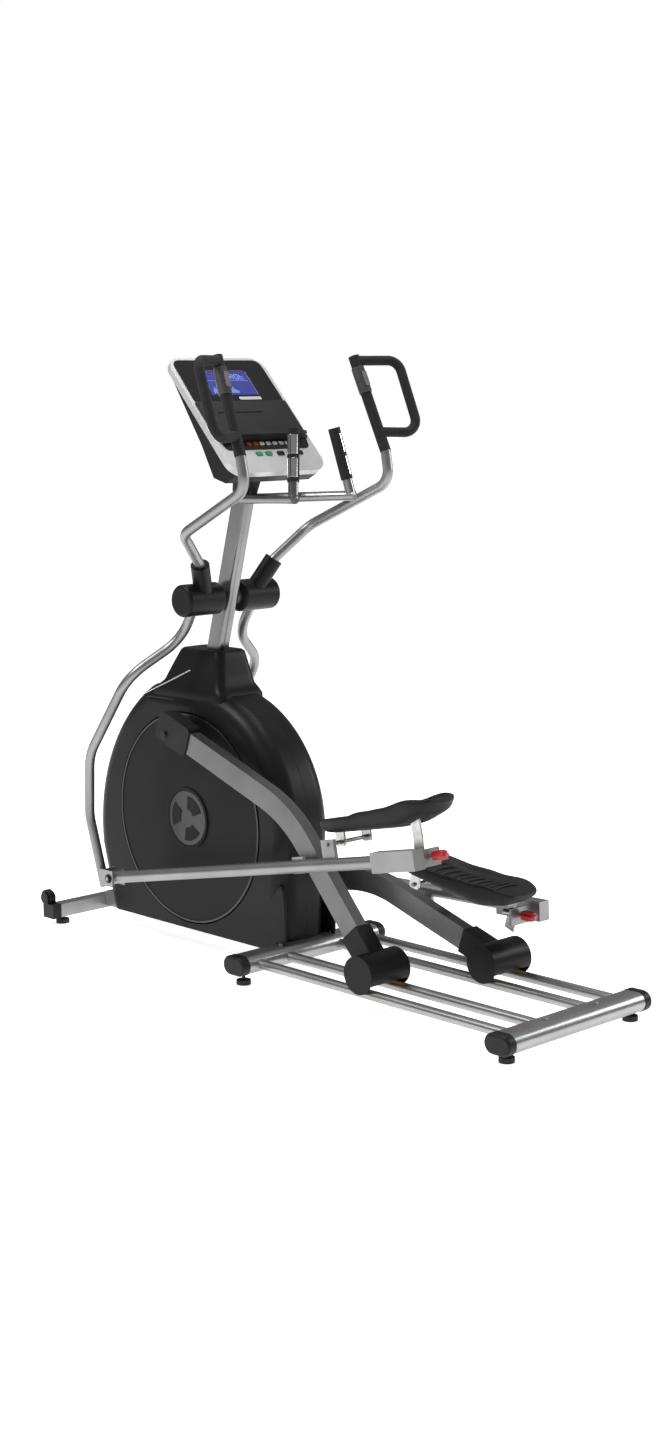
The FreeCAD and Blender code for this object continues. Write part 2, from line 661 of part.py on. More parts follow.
keep("drive_belt", feature("drive_belt", belt_block(size("belt_thickness")).cut(belt_block(0))))

magnet_low = "flywheel_height + flywheel_diameter / 2 + magnet_gap"
keep("brake_magnet", box("brake_magnet", ("-frame_gap / 2", "frame_gap / 2"),
                         ("flywheel_position - magnet_behind", "flywheel_position + magnet_ahead"),
                         (magnet_low, f"{magnet_low} + magnet_height")))

# --------------------------------------------------------------------- housing
CASE_OUTLINE = [
    ("case_floor_front", "case_bottom"),
    ("case_front", "case_front_level", "case_front_radius"),
    ("case_top_front", "collar_bottom"),
    ("case_top_rear", "collar_bottom", "case_rear_radius"),
    ("case_rear", "case_rear_level"),
    ("case_floor_rear", "case_bottom"),
]


def case_shell(name, side):
    """Half of the drive housing: a side wall and half of its round edge."""
    body = new_body(name)
    depth = "case_half_width - case_seam / 2"
    start, _ = span(side, "case_seam / 2", "case_half_width")
    sketch = new_sketch(body, "YZ_Plane", start)
    draw_outline(sketch, CASE_OUTLINE)
    pad(body, sketch, depth)
    floor_level = size("case_bottom")

    def above_floor(edge):
        return runs_along(V(1, 0, 0))(edge) and edge.Vertexes[0].Z > floor_level + 0.01
    round_edges(body, "case_corner", above_floor)
    doc.recompute()
    outline = Part.Wire(Part.sortEdges([e for e in body.Shape.Edges if all(
        abs(v.X - body.Shape.BoundBox.XMin) < 0.01 for v in e.Vertexes)])[0])
    outer = side * size("case_half_width")
    case_lip = size("case_wall") + 0.01

    def outer_rim(edge, face=outer):
        on_face = all(abs(v.X - face) < 0.01 for v in edge.Vertexes)
        return on_face and edge.BoundBox.ZMax > floor_level + case_lip
    round_edges(body, "case_rounding", outer_rim)
    doc.recompute()
    wall = size("case_wall")
    inner = Part.Face(outline).makeOffset2D(-wall)
    room = inner.extrude(V(side * (size("case_half_width") - wall), 0, 0))
    inner_face = side * (size("case_half_width") - wall)
    room.translate(V(inner_face - max(room.BoundBox.XMin * side, room.BoundBox.XMax * side) * side,
                     0, 0))
    rim = [e for e in room.Edges if outer_rim(e, inner_face)]
    cavity = feature(name + "_cavity", room.makeFillet(size("case_rounding") - wall, rim))
    start, end = span(side, "case_half_width - case_rounding", "case_half_width + 5")
    opening = rod(name + "_opening", "X", "disc_diameter / 2 + disc_gap", start, end, *CRANK)
    start, end = span(side, "0", "mast_width / 2 + neck_clearance")
    neck = box(name + "_neck", (start, end), ("neck_rear", "neck_front"),
               ("collar_bottom - neck_depth", "collar_bottom + 5"))
    start, end = span(side, "0", "beam_width / 2 + 1")
    front_slot = box(name + "_front_slot", (start, end), ("slot_rear", "slot_front"),
                     ("beam_bottom - 10", f"{beam_top} + 1"))
    start, end = span(side, "0", "rear_half_width")
    rear_slot = box(name + "_rear_slot", (start, end),
                    ("-100", "middle_position + stabilizer_depth / 2 + 2"),
                    ("0", "middle_height + stabilizer_height / 2 + 1"))
    start, end = span(side, "0", "beam_width / 2 + 1")
    floor_slot = box(name + "_floor_slot", (start, end), ("0", "900"),
                     ("0", f"{beam_top} + 1"))
    hollow = cut(name + "_hollow", body, [cavity])
    return cut(name + "_cut", hollow, [opening, neck, front_slot, rear_slot, floor_slot])


for word, side in SIDES.items():
    keep(f"side_case_{word}", case_shell(f"case_{word}", side))


def collar_block(name, inset):
    """The tapered neck of the housing between two rectangles."""
    body = new_body(name)
    sketches = []
    for level, half, low, high in (
            ("collar_bottom", "collar_lower_half", "collar_lower_rear", "collar_lower_front"),
            ("collar_top", "collar_upper_half", "collar_upper_rear", "collar_upper_front")):
        sketch = new_sketch(body, "XY_Plane", level)
        draw_outline(sketch, [
            (f"-({half} - {inset})", f"{low} + {inset}"),
            (f"{half} - {inset}", f"{low} + {inset}"),
            (f"{half} - {inset}", f"{high} - {inset}"),
            (f"-({half} - {inset})", f"{high} - {inset}"),
        ])
        sketches.append(sketch)
    loft = body.newObject("PartDesign::AdditiveLoft", name + "_loft")
    loft.Profile = sketches[0]
    loft.Sections = sketches[1:]
    return body


def leaning(thing, drop):
    """Sets a thing drawn along Z on the mast's line, drop below the pivot."""
    lean = size("mast_lean")
    down = size(drop)
    place = V(0, size("pivot_position") + down * math.sin(math.radians(lean)),
              size("pivot_height") - down * math.cos(math.radians(lean)))
    thing.Placement = FreeCAD.Placement(place, FreeCAD.Rotation(V(1, 0, 0), lean))
    return thing


def mast_prism(name, grow, drop, length):
    """The mast's rounded section, grown all round."""
    across = f"mast_width / 2 + {grow}"
    deep = f"mast_depth / 2 + {grow}"
    body = plate(name, [(f"-({across})", f"-({deep})"), (across, f"-({deep})"),
                        (across, deep), (f"-({across})", deep)],
                 "0", length, "XY_Plane")
    round_edges(body, f"mast_corner + {grow}", runs_along(V(0, 0, 1)))
    return leaning(body, drop)


collar_outer = collar_block("collar_outer", "0")
collar_inner = collar_block("collar_inner", "collar_wall")
collar_lid = box("collar_lid", ("-collar_upper_half + 1", "collar_upper_half - 1"),
                 ("collar_upper_rear + 1", "collar_upper_front - 1"),
                 ("collar_top - collar_wall", "collar_top"))
mast_room = mast_prism("mast_room", "1", "mast_below", "mast_below + mast_above")
keep("case_collar", cut("case_collar", join("collar_solid", [
    cut("collar_shell", collar_outer, [collar_inner]), collar_lid]), [mast_room]))

# ---------------------------------------------------------------- mast and bars
mast_bar = mast_prism("mast_bar", "0", "mast_below", "mast_below + mast_above")
PIVOT = ("pivot_position", "pivot_height")
axle = rod("pivot_axle", "X", "axle_diameter / 2", "-axle_half_length",
           "axle_half_length", *PIVOT)
keep("pivot_axle", axle)
keep("mast", cut("mast", mast_bar, [axle]))

bar_parts = []
grip_shells = []
pulse_shells = []
for word, side in SIDES.items():
    foot_at = point(sided(side, "post_foot_spread"), "post_foot_position", "post_foot_height")
    top_at = point(sided(side, "post_top_spread"), "post_top_position", "post_top_height")
    nose = point(sided(side, "nose_spread"),
                 "pivot_position - bar_on_mast * sin(mast_lean) + nose_ahead",
                 "pivot_height + bar_on_mast * cos(mast_lean)")
    up = (top_at - foot_at).normalize()
    reach = (foot_at - nose).Length + size("post_overrun")
    leg = Part.makeCylinder(size("bar_diameter / 2"), reach, nose,
                            (foot_at - nose).normalize())
    bar_parts.append(leg.fuse(Part.makeCylinder(
        size("bar_diameter / 2"), (top_at - foot_at).Length, foot_at, up)))
    grip_from = top_at - up * size("pulse_grip_length")
    sleeve = Part.makeCylinder(size("pulse_grip_diameter / 2"),
                               size("pulse_grip_length + grip_overrun"), grip_from, up)
    core = Part.makeCylinder(size("bar_diameter / 2"), size("pulse_grip_length"), grip_from, up)
    # The outer half of the grip carries the two bare metal sensor plates.
    wide = size("pulse_grip_length") * 2
    away = (V(side, 0, 0) - up * up.x * side).normalize()
    other = up.cross(away)
    turn = FreeCAD.Matrix(away.x, other.x, up.x, 0, away.y, other.y, up.y, 0,
                          away.z, other.z, up.z, 0, 0, 0, 0, 1)
    half = Part.makeBox(wide, wide, wide, V(0, -wide / 2, -wide / 2))
    half = half.transformGeometry(turn)
    half.translate(grip_from)
    tube_wall = sleeve.cut(core)
    windows = []
    for low in ("plate_low", "plate_high"):
        start = grip_from + up * size(low)
        cuff = Part.makeCylinder(size("pulse_grip_diameter"), size("plate_length"), start, up)
        inner = Part.makeCylinder(size("pulse_grip_diameter / 2 - plate_depth"),
                                  size("plate_length"), start, up)
        windows.append(tube_wall.common(cuff).common(half).cut(inner))
    for window in windows:
        tube_wall = tube_wall.cut(window)
        pulse_shells.append(window)
    grip_shells.append(tube_wall)
doc.recompute()
bars = bar_parts[0].fuse(bar_parts[1]).cut(mast_bar.Shape)
bars = Part.makeCompound([s for s in bars.Solids if s.Volume > 1e5])
keep("handlebar", feature("handlebar", bars))
keep("handlebar_grips", feature("handlebar_grips", Part.makeCompound(grip_shells)))
keep("pulse_plates", feature("pulse_plates", Part.makeCompound(pulse_shells)))

# --------------------------------------------------------------------- console


def on_console(thing):
    """Sets a thing drawn face-up about the origin on the console's slope."""
    place = point(0, "console_position", "console_level")
    thing.Placement = FreeCAD.Placement(place, FreeCAD.Rotation(V(1, 0, 0), size("console_tilt")))
    return thing


def slab(name, half_width, low, high, back, front, corner):
    """A rounded slab parallel to the console's face."""
    body = plate(name, [(f"-({half_width})", low), (half_width, low),
                        (half_width, high), (f"-({half_width})", high)],
                 back, f"({front}) - ({back})", "XY_Plane")
    if corner:
        round_edges(body, corner, runs_along(V(0, 0, 1)))
    return body


bezel = slab("bezel_slab", "console_half_width", "-console_lower", "console_upper",
             "-bezel_thickness", "0", "console_corner")
display_pocket = slab("display_pocket", "display_half_width", "display_lower",
                      "display_upper", "-display_thickness", "5", None)
key_pockets = [slab(f"key_pocket_{i}", "key_width / 2", "-key_height / 2", "key_height / 2",
                    "-key_depth", "5", None) for i in (1, 2)]
for key_pocket, place in zip(key_pockets, ("key_left", "key_right")):
    move(key_pocket, place, "key_level", 0)
keep("console_front", on_console(cut("console_front", bezel, [display_pocket] + key_pockets)))
keep("console_display", on_console(slab(
    "console_display_slab", "display_half_width", "display_lower", "display_upper",
    "-display_thickness", "-1", None)))
for word, place in (("up", "key_left"), ("down", "key_right")):
    key = slab(f"key_{word}_cap", "key_width / 2 - face_gap", "key_level - key_height / 2 + face_gap",
               "key_level + key_height / 2 - face_gap", "-key_depth + 2", "2.5", "5")
    moved = doc.addObject("Part::Compound", f"key_{word}_moved")
    moved.Links = [key]
    turned = FreeCAD.Rotation(V(1, 0, 0), size("console_tilt"))
    moved.Placement = FreeCAD.Placement(
        point(place, "console_position", "console_level"), turned)
    keep(f"resistance_key_{word}", moved)

back = plate("console_back_block", [
    ("console_upper - back_inset", "-bezel_thickness"),
    ("console_upper - back_top_inset", "-bezel_thickness - back_top_depth"),
    ("-back_middle", "-bezel_thickness - back_middle_depth"),
    ("-console_lower + back_low", "-bezel_thickness - back_low_depth"),
    ("-console_lower + back_heel", "-bezel_thickness - back_heel_depth"),
    ("-console_lower + back_inset", "-bezel_thickness"),
], "-back_half_width", "2 * back_half_width")
round_edges(back, "back_rounding", runs_along(V(1, 0, 0)))
on_console(back)
keep("console_back", cut("console_back", back, [mast_bar]))

rack_plate = slab("rack_plate", "rack_half_width", "rack_lower", "rack_upper", "0", "5", "6")
rack_ledge = slab("rack_ledge", "rack_half_width - 20", "rack_lower",
                  "rack_lower + ledge_thickness", "5", "5 + ledge_depth", None)
keep("reading_rack", on_console(join("reading_rack", [rack_plate, rack_ledge])))

# ------------------------------------------------------- swing arms and handles


def capsule(start, end, diameter):
    line = end - start
    return Part.makeCylinder(diameter / 2, line.Length, start, line)


for word, side in SIDES.items():
    def at(x, y, z, side=side):
        return point(sided(side, x), y, z)

    def across(near, far, radius, y, z, side=side):
        """A cylinder along X between two distances from the middle."""
        start = at(near, y, z)
        return Part.makeCylinder(size(radius), size(f"{far} - ({near})"), start, V(side, 0, 0))

    pivot = at("0", *PIVOT)
    hub = across("hub_inner_end", "hub_outer_end", "hub_diameter / 2", *PIVOT)
    hub_bore = across("hub_inner_end - 1", "hub_outer_end + 1",
                      "axle_diameter / 2 + running_gap", *PIVOT)
    lower = bent_bar([
        at("hip_spread", "pivot_position + hip_ahead", "pivot_height - hip_drop"),
        at("thigh_spread", "pivot_position + thigh_ahead", "pivot_height - thigh_drop"),
        at("bow_spread", "pivot_position + bow_ahead", "pivot_height - bow_drop"),
        at("side_plane + shin_spread", "lower_pin_position + shin_ahead",
           "lower_pin_height + shin_rise"),
        at("side_plane + calf_spread", "lower_pin_position + calf_ahead",
           "lower_pin_height + calf_rise"),
        at("side_plane", "lower_pin_position + toe_ahead", "lower_pin_height - toe_drop"),
    ], size("swing_tube"), size("swing_bend"))
    clevis = []
    for near in ("side_plane - clevis_gap / 2 - clevis_plate", "side_plane + clevis_gap / 2"):
        cheek = Part.makeBox(size("clevis_plate"), size("clevis_reach"), size("clevis_height"))
        corner = at(near if side > 0 else f"{near} + clevis_plate",
                    "lower_pin_position - clevis_behind", "lower_pin_height - clevis_height / 2")
        cheek.translate(corner)
        clevis.append(cheek)
    web = Part.makeBox(size("clevis_gap"), size("web_thickness"), size("clevis_height"))
    web.translate(at("side_plane - clevis_gap / 2" if side > 0 else "side_plane + clevis_gap / 2",
                     "lower_pin_position + web_ahead", "lower_pin_height - clevis_height / 2"))
    pin = across("side_plane - clevis_gap / 2 - clevis_plate - pin_inner_end",
                 "side_plane + clevis_gap / 2 + clevis_plate + pin_outer_end",
                 "pin_diameter / 2", "lower_pin_position", "lower_pin_height")
    arm = hub.fuse([lower, web] + clevis).cut(hub_bore).fuse(pin)
    collar_top = at("neck_spread", "pivot_position - neck_behind", "pivot_height + neck_rise")
    grip_foot = at("grip_foot_spread", "grip_foot_position", "grip_foot_height")
    grip_top = at("grip_top_spread", "grip_top_position", "grip_top_height")
    handle_stops = [
        at("root_spread", "pivot_position - root_behind", "pivot_height + root_rise"),
        collar_top,
        at("flare_spread", "pivot_position - flare_behind", "pivot_height + flare_rise"),
        at("grip_foot_spread - 2", "grip_foot_position - wrist_behind",
           "grip_foot_height - wrist_drop"),
        grip_foot,
        grip_top,
    ]
    handle = bent_bar(handle_stops, size("handle_bore"), size("handle_bend"))
    loop_stops = [
        at("grip_top_spread", "grip_top_position - loop_start", "grip_top_height - loop_lowering"),
        at("grip_top_spread + loop_top_reach", "grip_top_position - loop_top_behind",
           "grip_top_height - loop_lowering"),
        at("grip_foot_spread + loop_low_reach", "grip_foot_position - loop_low_behind",
           "grip_foot_height + loop_low_rise"),
        at("grip_foot_spread - 2", "grip_foot_position + loop_end_ahead",
           "grip_foot_height + loop_end_rise"),
    ]
    loop = bent_bar(loop_stops, size("loop_tube"), size("loop_bend"))
    hub_solid = across("hub_inner_end", "hub_outer_end", "hub_diameter / 2", *PIVOT)
    handle = handle.cut(hub_solid).fuse(loop)
    handle = max(handle.Solids, key=lambda solid: solid.Volume)
    upward = (grip_top - grip_foot).normalize()
    sleeve = capsule(grip_foot, grip_top + upward * 4, size("grip_foam"))
    loop_sleeve = bent_bar(loop_stops, size("loop_foam"), size("loop_bend"))
    remote_from = grip_top - upward * size("remote_length + remote_below")
    remote_to = remote_from + upward * size("remote_length")
    remote_sleeve = capsule(remote_from, remote_to, size("remote_diameter"))
    foam = sleeve.fuse(loop_sleeve).cut([handle, remote_sleeve])
    facing = V(0, -1, 0)
    facing = (facing - upward * facing.dot(upward)).normalize()
    sideways = upward.cross(facing)
    frame_of = FreeCAD.Matrix(sideways.x, facing.x, upward.x, 0, sideways.y, facing.y,
                              upward.y, 0, sideways.z, facing.z, upward.z, 0, 0, 0, 0, 1)

    def set_block(length, width, thick, out, frame_of=frame_of, centre=(remote_from + remote_to) / 2,
                  facing=facing):
        block = Part.makeBox(width, thick, length, V(-width / 2, 0, -length / 2))
        block = block.transformGeometry(frame_of)
        block.translate(centre + facing * out)
        return block

    key_out = size("handle_bore / 2 + remote_floor")
    key_seat = set_block(size("remote_key_length + 1"), size("remote_key_width + 1"), 12, key_out)
    key = set_block(size("remote_key_length"), size("remote_key_width"),
                    size("remote_key_height"), key_out + size("key_travel + 0.1"))
    pod = remote_sleeve.cut([sleeve.common(remote_sleeve).cut(handle).cut(remote_sleeve), handle,
                             loop_sleeve, key_seat])
    pod = max(pod.Solids, key=lambda solid: solid.Volume)
    shell = across("cover_inner_end", "cover_outer_end", "cover_diameter / 2", *PIVOT)
    shell = shell.makeFillet(size("cover_rounding"), [
        edge for edge in shell.Edges if edge.Curve.TypeId == "Part::GeomCircle"])
    neck = capsule(handle_stops[0], collar_top, size("collar_diameter"))
    cover = shell.fuse(neck).cut([hub_solid, handle, lower, across(
        "hub_outer_end", "axle_half_length + 1", "axle_diameter / 2 + face_gap", *PIVOT)])
    cover = max(cover.Solids, key=lambda solid: solid.Volume)
    keep(f"swing_arm_{word}", feature(f"swing_arm_{word}", arm))
    keep(f"handle_tube_{word}", feature(f"handle_tube_{word}", handle))
    keep(f"pivot_cover_{word}", feature(f"pivot_cover_{word}", cover))
    keep(f"handle_grip_{word}", feature(f"handle_grip_{word}", foam))
    keep(f"remote_pod_{word}", feature(f"remote_pod_{word}", pod))
    keep(f"remote_key_{word}", feature(f"remote_key_{word}", key))

# ------------------------------------------------------------- connecting arms
# Each arm is drawn about its crank pin, its chord along -Y, then turned and set.
roller_height = "(middle_height + rail_diameter / 2 + 0.3 + roller_diameter / 2)"
first_slope = "atan((apex_above - arm_start_above) / apex_along)"
second_slope = "atan(apex_above / (arm_length - apex_along))"
mitre = f"(arm_height / 2 / cos(({first_slope} + {second_slope}) / 2))"
lean = f"(({first_slope} - {second_slope}) / 2)"
knee_above = "(apex_above * (arm_length - knee_along) / (arm_length - apex_along))"


def arm_bar(name, start):
    """The cranked bar between crank pin and roller axle, bent at its apex."""
    corners = []
    for half in ("(arm_height / 2)", "(-arm_height / 2)"):
        over = f"{mitre} * {half} / (arm_height / 2)"
        corners.append([
            (f"{half} * sin({first_slope})", f"arm_start_above + {half} * cos({first_slope})"),
            (f"-apex_along + {over} * sin({lean})", f"apex_above + {over} * cos({lean})"),
            (f"-arm_length - {half} * sin({second_slope})", f"{half} * cos({second_slope})"),
        ])
    body = plate(name, corners[0] + corners[1][::-1], start, "arm_width")
    doc.recompute()
    for corner, radius in ((corners[0][1], "apex_bend + arm_height / 2"),
                           (corners[1][1], "apex_bend - arm_height / 2")):
        y, z = size(corner[0]), size(corner[1])

        def at_apex(edge):
            spot = edge.Vertexes[0].Point
            return runs_along(V(1, 0, 0))(edge) and abs(spot.y - y) + abs(spot.z - z) < 0.1
        round_edges(body, radius, at_apex)
    return body


def arm_angle(word):
    """The chord's slope, from the roller on its rails up to the crank pin."""
    pin = "crank_height + crank_throw" if word == "left" else "crank_height - crank_throw"
    return math.degrees(math.asin(size(f"({pin} - {roller_height}) / arm_length"))), size(pin)


KNEES = {}
for word, side in SIDES.items():
    angle, pin_z = arm_angle(word)
    crank_y = size("crank_position")

    def seat(thing, angle=angle, pin_z=pin_z, crank_y=crank_y):
        return turn_about(thing, V(1, 0, 0), angle, crank_y, pin_z)

    start, end = span(side, "lane - arm_width / 2", "lane + arm_width / 2")
    bar = arm_bar(f"arm_bar_{word}", start)
    stub_start, stub_end = span(side, "case_half_width + hub_ring_height + face_gap", "lane")
    pin_stub = rod(f"arm_stub_{word}", "X", "arm_stub_radius", stub_start, stub_end, 0, 0)
    knee_start, knee_end = span(side, "lane", "side_plane - pedal_tube / 2 - face_gap")
    knee_stub = rod(f"knee_stub_{word}", "X", "knee_pin / 2", knee_start, knee_end,
                    "-knee_along", knee_above)
    eye = rod(f"roller_eye_{word}", "X", "arm_height / 2 - 2", start, end, "-arm_length", 0)
    inner_start, inner_end = span(side, "lane - roller_cover_length / 2 + cover_wall",
                                  "lane + roller_cover_length / 2 - cover_wall")
    axle_bar = rod(f"roller_axle_{word}", "X", "roller_axle / 2", inner_start, inner_end,
                   "-arm_length", 0)
    solid = join(f"arm_solid_{word}", [bar, pin_stub, knee_stub, eye, axle_bar])

    cap_start, _ = span(side, "lane - arm_cap_width / 2", "lane + arm_cap_width / 2")
    cap_block = plate(f"cap_block_{word}", [
        ("-arm_cap_length + arm_cap_overhang", "-arm_cap_height / 2"),
        ("arm_cap_overhang", "-arm_cap_height / 2"),
        ("arm_cap_overhang", "arm_cap_height / 2"),
        ("-arm_cap_length + arm_cap_overhang", "arm_cap_height / 2"),
    ], cap_start, "arm_cap_width")
    round_edges(cap_block, "arm_cap_rounding", runs_along(V(1, 0, 0)))
    turn_about(cap_block, V(1, 0, 0), -size(first_slope), 0, size("arm_start_above"))
    arm_cap = cut(f"cap_solid_{word}", cap_block, [solid])

    cover_start, cover_end = span(side, "lane - roller_cover_length / 2",
                                  "lane + roller_cover_length / 2")
    drum = rod(f"drum_{word}", "X", "roller_cover_diameter / 2", cover_start, cover_end,
               "-arm_length", 0)
    neck = box(f"neck_{word}", span(side, "lane - arm_width / 2 - neck_cheek",
                                    "lane + arm_width / 2 + neck_cheek"),
               ("-neck_diameter / 2", "neck_diameter / 2"), ("0", "neck_length"))
    neck_solid = group(f"neck_set_{word}", [neck])
    neck_solid.Placement = FreeCAD.Placement(point(0, "-arm_length", 0),
                                             FreeCAD.Rotation(V(1, 0, 0), size(second_slope) - 90))
    hollow = rod(f"drum_hollow_{word}", "X", "roller_cover_diameter / 2 - cover_wall", inner_start,
                 inner_end, "-arm_length", 0)
    window = box(f"drum_window_{word}", (inner_start, inner_end), ("-window_half", "window_half"),
                 ("-window_depth", "-window_top"))
    window_set = group(f"window_set_{word}", [window])
    window_set.Placement = FreeCAD.Placement(point(0, "-arm_length", 0),
                                             FreeCAD.Rotation(V(1, 0, 0), -angle))
    rear_window = box(f"drum_rear_window_{word}", (inner_start, inner_end), ("-window_half", "2"),
                      ("-window_depth", "-rear_window_top"))
    cover = cut(f"cover_open_{word}", join(f"cover_solid_{word}", [drum, neck_solid]),
                [hollow, window_set, rear_window, solid])
    seated = {"connecting_arm": solid, "arm_cap": arm_cap, "roller_cover": cover}
    for label, piece in seated.items():
        whole = doc.addObject("Part::Compound", f"{label}_{word}_seated")
        whole.Links = [piece]
        keep(f"{label}_{word}", seat(whole))

    wheels = []
    roller_y = crank_y - math.cos(math.radians(angle)) * size("arm_length")
    for place in ("rail_outer", "rail_inner"):
        start, end = span(side, f"{place} - roller_width / 2", f"{place} + roller_width / 2")
        wheels.append(ring(f"roller_{place}_{word}", "X", "roller_diameter / 2",
                           "roller_axle / 2 + running_gap", start, end,
                           roller_y, roller_height))
    keep(f"rollers_{word}", group(f"rollers_{word}", wheels))
    knee = FreeCAD.Rotation(V(1, 0, 0), angle).multVec(point(0, "-knee_along", knee_above))
    KNEES[word] = knee + V(0, crank_y, pin_z)

# ------------------------------------------------------- pedal arms and pedals
# A pedal arm is drawn about its front pin, its tube along -Y.
lower_pin = point(0, "lower_pin_position", "lower_pin_height")


def pedal_arm_angle(word):
    """The tube's slope: the line from pin to knee, less the knee's lift."""
    knee = KNEES[word]
    line = math.degrees(math.atan2(knee.z - lower_pin.z, lower_pin.y - knee.y))
    return line - size(f"knee_lift_{word}")


for word, side in SIDES.items():
    slope = pedal_arm_angle(word)

    def set_arm(thing, slope=slope):
        return turn_about(thing, V(1, 0, 0), -slope, lower_pin.y, lower_pin.z)

    eye_start, eye_end = span(side, "side_plane - clevis_gap / 2 + face_gap",
                              "side_plane + clevis_gap / 2 - face_gap")
    tube = rod(f"pedal_tube_{word}", "Y", "pedal_tube / 2", "-pedal_arm_length + box_length",
               "0", sided(side, "side_plane"), 0)
    eye = rod(f"pedal_eye_{word}", "X", "eye_diameter / 2", eye_start, eye_end, 0, 0)
    eye_hole = rod(f"pedal_eye_hole_{word}", "X", "pin_diameter / 2 + running_gap",
                   f"{eye_start} - 30", f"{eye_end} + 30", 0, 0)
    end_box = box(f"pedal_box_{word}", span(side, "side_plane - pedal_tube / 2 - bracket_margin",
                                            "side_plane + pedal_tube / 2 + bracket_margin"),
                  ("-pedal_arm_length", "-pedal_arm_length + box_length + 8"),
                  ("-box_height / 2", "box_height / 2"))
    reach = (KNEES[word] - lower_pin).Length
    lift = size(f"knee_lift_{word}")
    knee_y = -reach * math.cos(math.radians(lift))
    knee_z = reach * math.sin(math.radians(lift))
    lug = box(f"knee_lug_{word}",
              span(side, "side_plane - pedal_tube / 2 + 1",
                   "side_plane - pedal_tube / 2 + 1 + knee_lug_thickness"),
              (f"{knee_y} - knee_lug_half", f"{knee_y} + knee_lug_half"),
              (f"{knee_z} - knee_lug_half", f"{knee_z} + knee_lug_half"))
    hinge_start, hinge_end = span(side, "pedal_inner + 22", "side_plane")
    hinge_pin = rod(f"hinge_pin_{word}", "X", "tilt_pin / 2", hinge_start, hinge_end,
                    "-tilt_along", "tilt_above")
    hinge_post = box(f"hinge_post_{word}", span(side, "side_plane - pedal_tube / 2 + 1",
                                                "side_plane - pedal_tube / 2 + 1 + post_thickness"),
                     ("-tilt_along - post_half", "-tilt_along + post_half"),
                     ("0", "tilt_above + post_margin"))
    worm_plate = box(f"worm_plate_{word}", span(side, "lane - worm_plate_inner", "side_plane"),
                     ("-worm_along - worm_plate_depth", "-worm_along"),
                     ("-box_height / 2", "box_height / 2 - worm_plate_depth"))
    worm_hole = rod(f"worm_hole_{word}", "Y", "worm_diameter / 2 - 4 + running_gap",
                    "-worm_along - 15", "-worm_along + 5", sided(side, "lane + worm_offset"), "0")
    solid = join(f"pedal_arm_solid_{word}", [tube, eye, end_box, lug, hinge_pin, hinge_post,
                                             worm_plate])
    keep(f"pedal_arm_{word}", set_arm(cut(f"pedal_arm_{word}", solid, [eye_hole, worm_hole])))

    worm = rod(f"worm_{word}", "Y", "worm_diameter / 2", "-worm_along + face_gap",
               "-worm_along + worm_length", sided(side, "lane + worm_offset"), "0")
    stem = rod(f"worm_stem_{word}", "Y", "worm_diameter / 2 - 4", "-worm_along - knob_gap - 2",
               "-worm_along + 2", sided(side, "lane + worm_offset"), "0")
    knob = rod(f"knob_{word}", "Y", "knob_diameter / 2", "-worm_along - knob_gap - knob_length",
               "-worm_along - knob_gap", sided(side, "lane + worm_offset"), "0")
    keep(f"tilt_knob_{word}", set_arm(join(f"tilt_knob_{word}", [worm, stem, knob])))

    # The pedal is drawn about its hinge, sole along -Y, then tilted and set.
    start, _ = span(side, "pedal_inner", "pedal_outer")
    dish = plate(f"pedal_dish_{word}", [
        ("pedal_ahead", "pedal_clearance"),
        ("pedal_ahead - toe_slope", "pedal_clearance + pedal_toe"),
        ("pedal_ahead - ball_back", "pedal_clearance + pedal_toe + ball_rise"),
        ("pedal_ahead - pedal_length + heel_flat", "pedal_clearance + pedal_heel"),
        ("pedal_ahead - pedal_length + heel_slope",
         "pedal_clearance + pedal_heel - ball_rise"),
        ("pedal_ahead - pedal_length", "pedal_clearance + pedal_heel - heel_lip"),
        ("pedal_ahead - pedal_length + heel_belly", "pedal_clearance"),
    ], start, "pedal_outer - pedal_inner")
    round_edges(dish, "pedal_rounding", runs_along(V(1, 0, 0)))
    room = plate(f"pedal_room_{word}", [
        ("pedal_ahead - ball_back", "pedal_clearance + pedal_floor + floor_rise"),
        ("pedal_ahead - toe_wall", "pedal_clearance + pedal_floor"),
        ("pedal_ahead - toe_wall", "pedal_clearance + room_height"),
        ("pedal_ahead - pedal_length + heel_wall", "pedal_clearance + room_height"),
        ("pedal_ahead - pedal_length + heel_wall", "pedal_clearance + pedal_heel - heel_depth"),
    ], f"{start} + pedal_rim", "pedal_outer - pedal_inner - 2 * pedal_rim")
    lugs = []
    for near, far in (("pedal_inner + lug_inset", "pedal_inner + lug_inset + lug_thickness"),
                      ("pedal_outer - lug_inset", "pedal_outer - lug_inset + lug_thickness")):
        start, end = span(side, near, far)
        lugs.append(box(f"pedal_lug_{word}", (start, end), ("-lug_half", "lug_half"),
                        ("-lug_drop", "pedal_clearance + lug_rise")))
    pin_hole = rod(f"pedal_pin_hole_{word}", "X", "tilt_pin / 2 + running_gap", "-400", "400",
                   0, 0)
    start, end = span(side, "lane + sector_offset", "lane + sector_offset + sector_plate")
    sector = ring(f"sector_{word}", "X", "sector_radius", "sector_radius - sector_band",
                  start, end, 0, 0)
    sector_box = box(f"sector_box_{word}", (start, end),
                     ("-sector_radius - 2", "-sector_radius + sector_reach"),
                     ("-sector_drop", "pedal_clearance + sector_rise"))
    blade = doc.addObject("Part::MultiCommon", f"blade_{word}")
    blade.Shapes = [sector, sector_box]
    solid = join(f"pedal_solid_{word}", [cut(f"pedal_bowl_{word}", dish, [room])] + lugs
                 + [blade])
    pedal = cut(f"pedal_{word}", solid, [pin_hole])
    hinge = FreeCAD.Rotation(V(1, 0, 0), -slope).multVec(point(0, "-tilt_along", "tilt_above"))
    hinge = hinge + lower_pin
    tilt = 0 if word == "left" else size("tilt_range")
